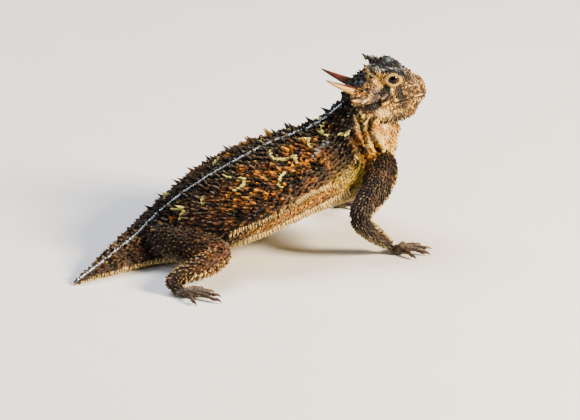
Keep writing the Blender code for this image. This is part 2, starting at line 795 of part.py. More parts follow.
def dress(item, slot):
    """Give an object its own plain finish."""
    red, green, blue, rough = SKIN_COLOURS[slot]
    finish = bpy.data.materials.new(f"{item.name}_{slot}")
    finish.use_nodes = True
    shader = finish.node_tree.nodes["Principled BSDF"]
    shader.inputs["Base Color"].default_value = (red, green, blue, 1.0)
    shader.inputs["Roughness"].default_value = rough
    shader.inputs["Metallic"].default_value = 0.0
    item.data.materials.clear()
    item.data.materials.append(finish)


def set_origin(item, point):
    """Move an object's origin to a point in millimetres without moving its surface."""
    place = Vector(point) * MM
    item.data.transform(Matrix.Translation(-place))
    item.location = place


def name_pieces(pieces):
    """Give every real piece its name by the place of its middle, and drop slivers."""
    named = {}
    for piece, volume in pieces:
        if abs(volume) < SLIVER_VOLUME * MM**3:
            piece.free()
            continue
        middle = Vector((0.0, 0.0, 0.0))
        for vertex in piece.verts:
            middle += vertex.co
        middle = middle / (len(piece.verts) * MM)
        name = min(PIECE_MIDDLES, key=lambda key: (Vector(PIECE_MIDDLES[key]) - middle).length)
        if name in named:
            raise RuntimeError(f"two pieces are nearest to {name}: {tuple(middle)}")
        mesh = bpy.data.meshes.new(name)
        piece.to_mesh(mesh)
        piece.free()
        item = bpy.data.objects.new(name, mesh)
        bpy.context.scene.collection.objects.link(item)
        named[name] = item
    missing = set(PIECE_MIDDLES) - set(named)
    if missing:
        raise RuntimeError(f"no piece found for {sorted(missing)}")
    return named


def cut_sockets(head):
    """Open the eye sockets and the horn roots in the head."""
    shape = bmesh.new()
    for side in (-1.0, 1.0):
        centre = head_point(EYE_FORWARD, side * EYE_SIDE, EYE_HEIGHT)
        reach = EYE_RADIUS + SOCKET_CLEARANCE
        add_ball(shape, centre, (reach, reach, reach), HEAD_TURN, fineness=2)
    for _, horn, side in horn_list():
        horn_shape(shape, horn, side, SOCKET_CLEARANCE)
    cut(head, mesh_object("sockets", shape), "DIFFERENCE")


def build_eyes():
    """Make the two eyeballs."""
    eyes = []
    for label, side in (("right", -1.0), ("left", 1.0)):
        shape = bmesh.new()
        centre = head_point(EYE_FORWARD, side * EYE_SIDE, EYE_HEIGHT)
        add_ball(shape, centre, (EYE_RADIUS, EYE_RADIUS, EYE_RADIUS), HEAD_TURN, fineness=2)
        item = mesh_object(f"eye_{label}", shape)
        set_origin(item, centre)
        eyes.append(item)
    return eyes


def build_horns():
    """Make the two large horns and the three smaller ones on each side."""
    horns = []
    for name, horn, side in horn_list():
        shape = bmesh.new()
        horn_shape(shape, horn, side, 0.0)
        item = mesh_object(name, shape)
        (forward, out, height) = horn[0]
        set_origin(item, head_point(forward, out * side, height))
        horns.append(item)
    return horns


def centre_on_floor(items):
    """Slide the whole model so that its box stands on the floor around the world's origin."""
    bpy.context.view_layer.update()
    corners = [item.matrix_world @ v.co for item in items for v in item.data.vertices]
    low = Vector([min(c[axis] for c in corners) for axis in range(3)])
    high = Vector([max(c[axis] for c in corners) for axis in range(3)])
    shift = Vector((-(low.x + high.x) / 2, -(low.y + high.y) / 2, -low.z))
    for item in items:
        item.location = item.location + shift


def main():
    """Build the lizard from its fused body to its separate pieces."""
    for item in list(bpy.data.objects):
        bpy.data.objects.remove(item, do_unlink=True)
    chance = random.Random(7)
    body = fused_body()
    surface_mesh = bmesh.new()
    surface_mesh.from_mesh(body.data)
    surface = BVHTree.FromBMesh(surface_mesh)
    spines = bmesh.new()
    add_trunk_spines(spines, surface, chance)
    add_claws(spines)
    surface_mesh.free()
    cut(body, mesh_object("spines", spines), "UNION")
    floor_cut(body)
    mouth_cut(body, surface)
    named = name_pieces(part_body(body))
    cut_sockets(named["head"])
    items = []
    for name, item in named.items():
        set_origin(item, PIECE_ORIGINS[name])
        slot = "head_skin" if name in ("head", "neck") else "trunk_skin"
        if "_right" in name or "_left" in name:
            slot = "limb_skin"
        dress(item, slot)
        items.append(item)
    for eye in build_eyes():
        dress(eye, "eye_cornea")
        items.append(eye)
    for horn in build_horns():
        dress(horn, "horn_keratin")
        items.append(horn)
    centre_on_floor(items)
    for item in items:
        item.data.shade_smooth()


main()
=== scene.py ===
"""Looks of a life-size horned lizard: one folded skin, solid scales, eyes, horns and claws.

Sizes are in millimetres in the body's working frame: X forward, Y to the animal's left, Z up,
with the rump's midline over the start. `BodyPlan.place` turns them to metres in the part's frame.
"""

import itertools
import logging
import math
from dataclasses import dataclass, field
from enum import Enum

import bmesh
import bpy
import numpy as np
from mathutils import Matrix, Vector
from mathutils.kdtree import KDTree


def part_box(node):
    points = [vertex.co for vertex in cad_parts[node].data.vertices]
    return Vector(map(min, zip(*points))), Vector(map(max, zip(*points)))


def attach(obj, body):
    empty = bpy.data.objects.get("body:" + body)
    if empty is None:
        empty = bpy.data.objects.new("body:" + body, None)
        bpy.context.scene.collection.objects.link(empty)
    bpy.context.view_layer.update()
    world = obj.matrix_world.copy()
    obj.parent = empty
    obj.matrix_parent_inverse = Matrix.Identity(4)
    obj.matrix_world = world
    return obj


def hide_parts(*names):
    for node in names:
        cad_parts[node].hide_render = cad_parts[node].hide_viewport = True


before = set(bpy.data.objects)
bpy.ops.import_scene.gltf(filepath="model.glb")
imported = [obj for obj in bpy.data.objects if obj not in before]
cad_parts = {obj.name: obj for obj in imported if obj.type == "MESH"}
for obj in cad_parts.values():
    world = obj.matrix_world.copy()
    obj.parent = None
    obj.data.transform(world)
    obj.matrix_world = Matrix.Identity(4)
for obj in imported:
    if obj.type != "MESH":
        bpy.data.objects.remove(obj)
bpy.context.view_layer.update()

MM = 0.001
BODY = "root"
Array = np.ndarray
log = logging.getLogger("lizard")


class Part(Enum):
    """The stretch of the body that a point belongs to."""

    SPINE = 0
    HEAD = 1
    ARM = 2
    LEG = 3
    DIGIT = 4


class Side(Enum):
    """The animal's right and left, with the sign that the Y axis gives them."""

    RIGHT = -1.0
    LEFT = 1.0

    @property
    def label(self) -> str:
        """The word that ends a piece's name."""
        return self.name.lower()

    def turn(self, away: Array | float) -> Array | float:
        """Degrees round a section for degrees away from the midline of the back."""
        return away if self is Side.RIGHT else 360.0 - away


def linear(code: str) -> Array:
    """Turn an sRGB hex colour to linear light.

    Args:
        code: six hex digits with a leading hash.

    Returns:
        Red, green and blue from 0 to 1.
    """
    values = np.array([int(code[i : i + 2], 16) for i in (1, 3, 5)]) / 255.0
    return np.where(values <= 0.04045, values / 12.92, ((values + 0.055) / 1.055) ** 2.4)


def unit(vectors: Array) -> Array:
    """Scale vectors along the last axis to length one."""
    return vectors / np.maximum(np.linalg.norm(vectors, axis=-1, keepdims=True), 1e-9)


def mix(first: Array, second: Array, share: Array) -> Array:
    """Blend colours, with one share for each row."""
    return first + (second - first) * np.clip(share, 0.0, 1.0)[:, None]


def ramp(value: Array, low: float, high: float) -> Array:
    """Rise smoothly from 0 at low to 1 at high."""
    share = np.clip((value - low) / (high - low), 0.0, 1.0)
    return share * share * (3.0 - 2.0 * share)


def hump(value: Array, middle: float, width: float) -> Array:
    """A smooth bump of height one around a middle."""
    return np.exp(-(((value - middle) / width) ** 2))


def noise(points: Array, size: float, seed: float = 0.0) -> Array:
    """Smooth random field in space.

    Args:
        points: rows of x, y, z in millimetres.
        size: width of one blob in millimetres.
        seed: a shift that gives another field.

    Returns:
        One value from 0 to 1 for each row.
    """
    cells = points / size + seed * 19.7
    base = np.floor(cells)
    blend = cells - base
    blend = blend * blend * (3.0 - 2.0 * blend)
    total = np.zeros(len(points))
    for corner in itertools.product((0.0, 1.0), repeat=3):
        key = (base + corner) @ np.array([127.1, 311.7, 74.7])
        value = np.abs(np.sin(key)) * 43758.5453
        weight = np.where(np.array(corner) > 0.5, blend, 1.0 - blend).prod(axis=1)
        total += (value - np.floor(value)) * weight
    return total


def distance_to(points: Array, samples: Array) -> Array:
    """How far each point lies from the nearest of a few samples.

    Args:
        points: rows to measure.
        samples: rows to measure to.

    Returns:
        One distance for each point.
    """
    best = np.full(len(points), 1e9)
    for sample in samples:
        best = np.minimum(best, ((points - sample) ** 2).sum(axis=1))
    return np.sqrt(best)


def spline(table: Array, stations: Array) -> Array:
    """Read rows between the stations of a table on a smooth curve through them all.

    Args:
        table: one row of numbers for each station.
        stations: where to read, in whole and part stations.

    Returns:
        One row for each place read.
    """
    last = len(table) - 1
    first = np.clip(np.floor(stations).astype(int), 0, last - 1)
    t = (stations - first)[:, None]
    here, there = table[first], table[first + 1]
    before, after = table[np.maximum(first - 1, 0)], table[np.minimum(first + 2, last)]
    return (
        here * (2 * t**3 - 3 * t**2 + 1)
        + (there - before) * 0.5 * (t**3 - 2 * t**2 + t)
        + there * (3 * t**2 - 2 * t**3)
        + (after - here) * 0.5 * (t**3 - t**2)
    )


def section(rows: dict[str, Array], angle: Array) -> Array:
    """Points on rounded body sections.

    Args:
        rows: top, bottom and left vectors, half width, share above the widest line, and the
            squareness above and below that line, one row for each point.
        angle: degrees round the section; 0 is the back, 90 the right side, 180 the belly.

    Returns:
        One point for each row.
    """
    top, bottom = rows["top"], rows["bottom"]
    depth = np.linalg.norm(top - bottom, axis=1)
    up = unit(top - bottom)
    cosine, sine = np.cos(np.radians(angle)), np.sin(np.radians(angle))
    upper = cosine >= 0
    rise = depth * np.where(upper, rows["share"], 1.0 - rows["share"])
    power = 2.0 / np.where(upper, rows["above"], rows["below"])
    height = np.sign(cosine) * np.abs(cosine) ** power * rise
    side = np.sign(sine) * np.abs(sine) ** power * rows["half"]
    widest = top - up * (depth * rows["share"])[:, None]
    return widest + up * height[:, None] - rows["left"] * side[:, None]


def path_rings(table: Array, sides: int, steps: int) -> Array:
    """Rings of a rounded tube along a path.

    Args:
        table: rows of x, y, z, radius across and radius up.
        sides: points in each ring.
        steps: rings for each gap between rows.

    Returns:
        An array of rings by points by three.
    """
    rows = spline(table, np.linspace(0, len(table) - 1, (len(table) - 1) * steps + 1))
    centres = rows[:, :3]
    along = unit(np.gradient(centres, axis=0))
    across = np.cross(along, (0.0, 0.0, 1.0))
    steep = np.linalg.norm(across, axis=1) < 0.2
    across[steep] = np.array((0.0, 1.0, 0.0)) - along[steep] * along[steep, 1:2]
    across = unit(across)
    up = np.cross(across, along)
    turn = np.linspace(0.0, 2.0 * math.pi, sides, endpoint=False)
    wide = across[:, None] * (np.cos(turn)[None] * rows[:, 3:4])[..., None]
    tall = up[:, None] * (np.sin(turn)[None] * rows[:, 4:5])[..., None]
    return centres[:, None] + wide + tall


@dataclass
class Sketch:
    """Closed shapes gathered before they become one mesh."""

    points: list[Array] = field(default_factory=list)
    faces: list[list[int]] = field(default_factory=list)
    count: int = 0

    def add_rings(self, rings: Array) -> None:
        """Add a closed tube through rings of points, with flat ends.

        Args:
            rings: an array of rings by points by three.
        """
        amount, sides = rings.shape[:2]
        start = self.count
        self.points.append(rings.reshape(-1, 3))
        self.count += amount * sides
        for ring in range(amount - 1):
            one = start + ring * sides
            for index in range(sides):
                following = (index + 1) % sides
                two = one + sides
                self.faces.append([one + index, one + following, two + following, two + index])
        self.faces.append(list(range(start + sides - 1, start - 1, -1)))
        self.faces.append(list(range(self.count - sides, self.count)))

    def add_ball(self, centre: Array, axes: Array) -> None:
        """Add an ellipsoid.

        Args:
            centre: its middle.
            axes: three rows, each an axis as long as the radius along it.
        """
        tilt = np.radians(np.linspace(-84.0, 84.0, 13))
        turn = np.linspace(0.0, 2.0 * math.pi, 20, endpoint=False)
        flat = np.cos(tilt)[:, None, None]
        ring = np.cos(turn)[:, None] * axes[0] + np.sin(turn)[:, None] * axes[1]
        self.add_rings(centre + ring[None] * flat + np.sin(tilt)[:, None, None] * axes[2])


@dataclass
class BodyPlan:
    """The lizard's flesh: every section and path that the skin and the scales follow."""

    # back x, back z, belly x, belly z, sideways shift, turn, half width, share above the widest line
    spine: tuple = (
        (-28.4, 0.9, -28.4, 0.0, -13.8, 28.0, 0.5, 0.5),
        (-26.0, 1.7, -26.0, -0.1, -12.5, 28.0, 1.2, 0.5),
        (-22.0, 2.9, -22.0, -0.1, -10.3, 28.0, 2.2, 0.55),
        (-17.6, 4.2, -17.4, -0.2, -7.9, 29.0, 3.6, 0.6),
        (-12.0, 6.0, -11.6, -0.2, -4.7, 29.0, 5.6, 0.62),
        (-6.2, 8.0, -4.6, -0.2, -1.5, 20.0, 8.2, 0.62),
        (-0.4, 12.2, 3.4, 0.1, -0.1, 6.0, 12.0, 0.62),
        (6.4, 17.0, 12.0, 1.9, 0.0, 0.0, 16.6, 0.61),
        (13.7, 21.0, 20.4, 4.6, 0.0, 0.0, 20.2, 0.58),
        (20.5, 24.2, 27.6, 6.9, 0.0, 0.0, 21.8, 0.56),
        (27.3, 27.2, 34.8, 8.8, 0.0, 0.0, 21.2, 0.54),
        (33.9, 29.6, 42.2, 10.0, 0.0, 0.0, 18.8, 0.52),
        (39.6, 31.3, 49.6, 10.8, -0.1, 0.0, 15.8, 0.50),
        (44.2, 32.6, 57.0, 12.0, -0.4, -2.0, 13.4, 0.50),
        (47.6, 34.0, 63.4, 15.0, -0.8, -4.0, 11.6, 0.52),
        (50.2, 36.0, 67.2, 19.4, -1.3, -7.0, 10.3, 0.5),
        (52.8, 38.2, 68.8, 24.0, -1.9, -10.0, 9.4, 0.5),
        (55.2, 40.0, 69.6, 28.4, -2.4, -12.0, 8.9, 0.5),
        (57.6, 41.2, 70.6, 32.0, -2.8, -13.0, 8.4, 0.5),
    )
    back_squareness: float = 1.75
    belly_squareness: float = 2.5
    # forward of the eyes, top z, bottom z, half width, share above the widest line
    skull: tuple = (
        (-11.4, 43.6, 36.0, 5.6, 0.6),
        (-9.8, 45.2, 33.6, 8.2, 0.6),
        (-7.6, 46.6, 32.4, 9.4, 0.6),
        (-5.6, 48.7, 32.0, 9.5, 0.61),
        (-3.6, 49.0, 32.2, 9.1, 0.61),
        (-1.0, 48.7, 32.8, 8.3, 0.6),
        (2.0, 48.0, 33.6, 7.3, 0.58),
        (5.0, 47.0, 34.8, 5.9, 0.56),
        (7.4, 46.2, 36.6, 4.6, 0.55),
        (9.2, 45.2, 38.8, 3.5, 0.54),
        (10.2, 44.0, 40.6, 2.3, 0.5),
    )
    skull_squareness: float = 2.6
    head_centre: tuple = (67.5, -3.3, 0.0)
    head_turn: float = -13.0
    eye: tuple = (0.0, 5.45, 47.1)
    eye_radius: float = 2.5
    # the mouth's line: height, drop to the corners, where it turns from, and half its turn
    mouth_height: float = 41.0
    mouth_drop: float = 0.6
    mouth_pivot: float = 2.0
    mouth_spread: float = 119.0
    # ridges in the head's frame: forward, out, height, radius across, radius up
    brow: tuple = (
        (6.6, 2.7, 45.9, 0.8, 0.6),
        (4.2, 4.1, 46.9, 1.0, 0.8),
        (1.0, 5.4, 48.1, 1.2, 0.9),
        (-2.4, 5.8, 48.9, 1.3, 0.9),
        (-4.8, 5.6, 49.5, 1.0, 0.7),
        (-6.6, 5.8, 50.4, 0.35, 0.3),
    )
    shelf: tuple = (
        (1.6, 6.4, 42.4, 0.9, 0.8),
        (-3.0, 8.3, 42.2, 1.3, 1.1),
        (-7.4, 8.8, 41.7, 1.5, 1.3),
        (-10.0, 6.6, 42.2, 1.3, 1.3),
        (-10.4, 2.8, 43.2, 1.4, 1.4),
        (-10.0, 0.0, 43.2, 1.4, 1.4),
    )
    jaw: tuple = (
        (7.4, 2.0, 38.8, 1.0, 1.3),
        (5.0, 4.8, 37.2, 1.4, 1.9),
        (0.0, 7.0, 36.8, 1.6, 2.1),
        (-5.0, 8.2, 37.2, 1.5, 2.0),
        (-8.4, 7.6, 38.6, 1.1, 1.4),
    )
    # limbs of the right side: x, y, z, radius across, radius up
    arm: tuple = (
        (61.2, -6.0, 22.5, 5.6, 6.2),
        (61.8, -12.0, 21.8, 4.9, 5.6),
        (58.4, -17.0, 18.0, 4.0, 4.5),
        (52.6, -20.8, 13.4, 3.1, 3.3),
        (53.6, -21.2, 9.6, 2.9, 2.9),
        (58.2, -20.6, 5.4, 2.4, 2.4),
        (61.6, -20.0, 2.8, 1.9, 1.6),
    )
    left_arm_reach: float = -1.6
    leg: tuple = (
        (1.0, -3.0, 6.6, 5.6, 5.0),
        (4.2, -11.0, 6.9, 5.6, 4.9),
        (8.2, -18.4, 7.4, 4.7, 4.3),
        (10.0, -23.6, 7.3, 3.6, 3.4),
        (5.2, -26.2, 6.0, 3.4, 3.2),
        (-0.6, -26.8, 4.4, 2.6, 2.4),
        (-4.4, -27.4, 3.1, 2.0, 1.9),
        (-3.9, -29.4, 1.9, 1.9, 1.5),
    )
    left_leg: tuple = (
        (3.0, 3.0, 6.6, 5.6, 5.0),
        (9.0, 11.0, 6.6, 5.2, 4.6),
        (16.0, 19.0, 7.2, 4.2, 4.0),
        (21.4, 24.4, 7.4, 3.5, 3.3),
        (18.6, 27.4, 6.0, 3.0, 2.9),
        (14.2, 28.6, 4.5, 2.2, 2.1),
        (11.2, 28.9, 3.0, 1.8, 1.7),
        (11.3, 31.0, 1.8, 1.8, 1.5),
    )
    hand: tuple = (64.0, -20.4, 1.2)
    hand_heading: float = -8.0
    foot: tuple = (-2.6, -31.2, 1.2)
    foot_heading: float = -40.0
    left_foot: tuple = (12.6, 33.2, 1.2)
    left_foot_heading: float = 35.0
    palm_radii: tuple = (2.9, 2.5, 1.35)
    sole_radii: tuple = (3.5, 2.4, 1.4)
    # fan angle from the heading, length without the claw
    fingers: tuple = ((62.0, 3.3), (30.0, 4.7), (3.0, 5.6), (-26.0, 5.2), (-62.0, 3.6))
    toes: tuple = ((60.0, 3.4), (32.0, 4.8), (10.0, 6.6), (-10.0, 8.2), (-46.0, 5.2))
    digit_radius: float = 0.85
    # throat and neck folds: station, swell, first and last angle
    folds: tuple = ((15.2, 1.0, 60, 180), (16.2, 0.9, 70, 180), (14.0, 1.2, 66, 150))
    shift: Array = field(default_factory=lambda: np.zeros(3))

    def __post_init__(self) -> None:
        """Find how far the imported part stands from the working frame, from its right eye."""
        low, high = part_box("eye_right")
        here = np.array((low + high) / 2) / MM
        self.shift = here - self.head_point(*self.eye_point(Side.RIGHT))

    def place(self, points: Array) -> Array:
        """Turn working millimetres to metres in the part's frame."""
        return (points + self.shift) * MM

    def eye_point(self, side: Side) -> tuple[float, float, float]:
        """The middle of one eyeball in the head's frame."""
        return (self.eye[0], self.eye[1] * side.value, self.eye[2])

    def spine_points(self, stations: Array, angle: Array) -> Array:
        """Points on the trunk's, neck's or tail's surface.

        Args:
            stations: where along the spine table.
            angle: degrees round the section, from the back over the animal's right.

        Returns:
            One point for each pair.
        """
        rows = spline(np.array(self.spine), np.asarray(stations, float))
        turn = np.radians(rows[:, 5])
        flat = np.zeros(len(rows))
        lean = (rows[:, 2] - rows[:, 0]) * np.tan(turn) * 0.5
        parts = {
            "top": np.stack((rows[:, 0], rows[:, 4], rows[:, 1]), 1),
            "bottom": np.stack((rows[:, 2], rows[:, 4] + lean, rows[:, 3]), 1),
            "left": np.stack((-np.sin(turn), np.cos(turn), flat), 1),
            "half": rows[:, 6],
            "share": rows[:, 7],
            "above": flat + self.back_squareness,
            "below": flat + self.belly_squareness,
        }
        return section(parts, np.asarray(angle, float))

    def trace(self, line: tuple, side: Side, pitch: float) -> tuple[Array, Array]:
        """Walk a line drawn on the trunk in even steps.

        Args:
            line: corners as station and degrees away from the midline of the back.
            side: the side of the body.
            pitch: the length of a step in millimetres.

        Returns:
            The stations and the angles of the steps.
        """
        rows = np.array(line, float)
        fine = np.linspace(0.0, len(rows) - 1.0, 40 * (len(rows) - 1) + 1)
        stations = np.interp(fine, np.arange(len(rows)), rows[:, 0])
        away = np.interp(fine, np.arange(len(rows)), rows[:, 1])
        angles = side.turn(away)
        gaps = np.linalg.norm(np.diff(self.spine_points(stations, angles), axis=0), axis=1)
        travelled = np.concatenate(([0.0], np.cumsum(gaps)))
        steps = np.arange(0.0, travelled[-1], pitch)
        return np.interp(steps, travelled, stations), np.interp(steps, travelled, angles)

    def trace_points(self, lines: tuple, pitch: float = 0.3) -> Array:
        """Points along lines drawn on both sides of the trunk."""
        found = [self.spine_points(*self.trace(line, side, pitch)) for line in lines for side in Side]
        return np.vstack(found)

    def head_point(self, forward: Array, out: Array, height: Array) -> Array:
        """A point of the head's own frame, placed on the body.

        Args:
            forward: ahead of the eyes.
            out: towards the animal's left.
            height: above the floor.

        Returns:
            One row for each point.
        """
        turn = math.radians(self.head_turn)
        x = self.head_centre[0] + forward * math.cos(turn) - out * math.sin(turn)
        y = self.head_centre[1] + forward * math.sin(turn) + out * math.cos(turn)
        return np.stack(np.broadcast_arrays(x, y, height), -1).astype(float)

    def head_vector(self, forward: float, out: float, up: float) -> Array:
        """A direction of the head's own frame."""
        return unit(self.head_point(forward, out, up) - self.head_point(0.0, 0.0, 0.0))

    def to_head(self, points: Array) -> Array:
        """Turn points to the head's own frame.

        Args:
            points: rows in the working frame.

        Returns:
            Rows of forward, out to the left, and height.
        """
        turn = math.radians(self.head_turn)
        x, y = points[:, 0] - self.head_centre[0], points[:, 1] - self.head_centre[1]
        forward = x * math.cos(turn) + y * math.sin(turn)
        return np.stack((forward, y * math.cos(turn) - x * math.sin(turn), points[:, 2]), 1)

    def skull_points(self, stations: Array, angle: Array) -> Array:
        """Points on the skull's main mass, read like the spine's.

        Args:
            stations: where along the skull table.
            angle: degrees round the section.

        Returns:
            One point for each pair.
        """
        rows = spline(np.array(self.skull), np.asarray(stations, float))
        flat = np.zeros(len(rows))
        parts = {
            "top": self.head_point(rows[:, 0], flat, rows[:, 1]),
            "bottom": self.head_point(rows[:, 0], flat, rows[:, 2]),
            "left": np.tile(self.head_vector(0.0, 1.0, 0.0), (len(rows), 1)),
            "half": rows[:, 3],
            "share": rows[:, 4],
            "above": flat + self.skull_squareness,
            "below": flat + self.skull_squareness,
        }
        return section(parts, np.asarray(angle, float))

    def mouth_offset(self, local: Array) -> Array:
        """How far above the closed mouth's line each point lies.

        Args:
            local: rows of the head's frame.

        Returns:
            One height for each row, and 99 behind the corners.
        """
        turn = np.degrees(np.arctan2(local[:, 1], local[:, 0] - self.mouth_pivot))
        share = np.abs(turn) / self.mouth_spread
        line = self.mouth_height - self.mouth_drop * share**3
        return np.where(share < 1.0, local[:, 2] - line, 99.0)

    def brow_height(self, ahead: Array) -> Array:
        """The height of the brow's ridge at each place along the head."""
        rows = np.array(self.brow)[::-1]
        return np.interp(ahead, rows[:, 0], rows[:, 2])

    def head_ridge(self, ridge: tuple, side: Side) -> Array:
        """A ridge of the head as a path on the body.

        Args:
            ridge: rows of forward, out, height and two radii.
            side: the side of the body.

        Returns:
            Rows of x, y, z and two radii.
        """
        rows = np.array(ridge)
        centres = self.head_point(rows[:, 0], rows[:, 1] * side.value, rows[:, 2])
        return np.hstack((centres, rows[:, 3:]))

    def limbs(self) -> list[dict]:
        """Every limb with its path, sole, heading, digits and side.

        Returns:
            One record for each limb.
        """
        mirror = np.array((1.0, -1.0, 1.0, 1.0, 1.0))
        found = []
        for side in Side:
            right = side is Side.RIGHT
            arm = np.array(self.arm) if right else np.array(self.arm) * mirror
            reach = 0.0 if right else self.left_arm_reach
            arm[:, 0] += reach * np.linspace(0.0, 1.0, len(arm))
            hand = np.array(self.hand) * (1.0, -side.value, 1.0) + (reach, 0.0, 0.0)
            found.append({
                "part": Part.ARM, "side": side, "path": arm, "sole": hand,
                "heading": -self.hand_heading * side.value,
                "digits": self.fingers, "radii": self.palm_radii,
            })
            found.append({
                "part": Part.LEG, "side": side,
                "path": np.array(self.leg if right else self.left_leg),
                "sole": np.array(self.foot if right else self.left_foot),
                "heading": self.foot_heading if right else self.left_foot_heading,
                "digits": self.toes, "radii": self.sole_radii,
            })
        return found

    def digit_out(self, limb: dict, spread: float) -> Array:
        """The level direction in which one digit points."""
        turn = math.radians(limb["heading"] - spread * limb["side"].value)
        return np.array((math.cos(turn), math.sin(turn), 0.0))

    def digit_path(self, limb: dict, spread: float, length: float) -> Array:
        """The path of one digit, from the sole to the claw's root.

        Args:
            limb: the limb's record.
            spread: degrees from the limb's heading.
            length: the digit's length without its claw.

        Returns:
            Rows of x, y, z and two radii.
        """
        out = self.digit_out(limb, spread)
        reach = limb["radii"][1] - 0.8 + length
        rows = []
        for share, height, size in ((0.0, 1.3, 1.05), (0.55, 1.45, 0.95), (1.0, 0.62, 0.82)):
            point = limb["sole"] + out * (0.8 + reach * share)
            rows.append((point[0], point[1], height, *(self.digit_radius * size,) * 2))
        return np.array(rows)

    def flesh(self) -> Sketch:
        """All the masses that the skin is drawn over.

        Returns:
            Overlapping closed shapes, ready to be fused.
        """
        sketch = Sketch()
        angles = np.arange(0.0, 360.0, 9.0)
        for points, last in ((self.spine_points, len(self.spine)), (self.skull_points, len(self.skull))):
            stations = np.linspace(0, last - 1, (last - 1) * 5 + 1)
            grid = points(np.repeat(stations, len(angles)), np.tile(angles, len(stations)))
            sketch.add_rings(grid.reshape(len(stations), len(angles), 3))
        for side in Side:
            for ridge in (self.brow, self.shelf, self.jaw):
                sketch.add_rings(path_rings(self.head_ridge(ridge, side), 14, 4))
            axes = [self.head_vector(1, 0, 0) * 4.1, self.head_vector(0, 1, 0) * 3.0, (0, 0, 2.6)]
            sketch.add_ball(self.head_point(0.4, 4.7 * side.value, 47.0), np.array(axes))
            for station, swell, first, last in self.folds:
                sketch.add_rings(self.fold_rings(station, swell, first, last, side))
        for limb in self.limbs():
            sketch.add_rings(path_rings(limb["path"], 18, 5))
            turn = math.radians(limb["heading"])
            ahead = np.array((math.cos(turn), math.sin(turn), 0.0))
            beside = np.array((-math.sin(turn), math.cos(turn), 0.0))
            long, wide, tall = limb["radii"]
            sketch.add_ball(limb["sole"], np.array((ahead * long, beside * wide, (0, 0, tall))))
            for spread, length in limb["digits"]:
                sketch.add_rings(path_rings(self.digit_path(limb, spread, length), 12, 5))
        return sketch

    def fold_rings(self, station: float, swell: float, first: float, last: float, side: Side) -> Array:
        """Rings of one loose fold of skin round the neck's side.

        Args:
            station: where on the spine the fold lies.
            swell: the fold's radius.
            first: the angle where it starts.
            last: the angle where it ends.
            side: the side of the body.

        Returns:
            An array of rings by points by three.
        """
        angles = np.linspace(first, last, 7)
        points = self.spine_points(np.full(7, station), side.turn(angles))
        ends = self.spine_points(np.full(2, station), np.array((0.0, 180.0)))
        inside = points + (ends.mean(axis=0) - points) * 0.07
        return path_rings(np.hstack((inside, np.full((7, 2), swell))), 12, 3)


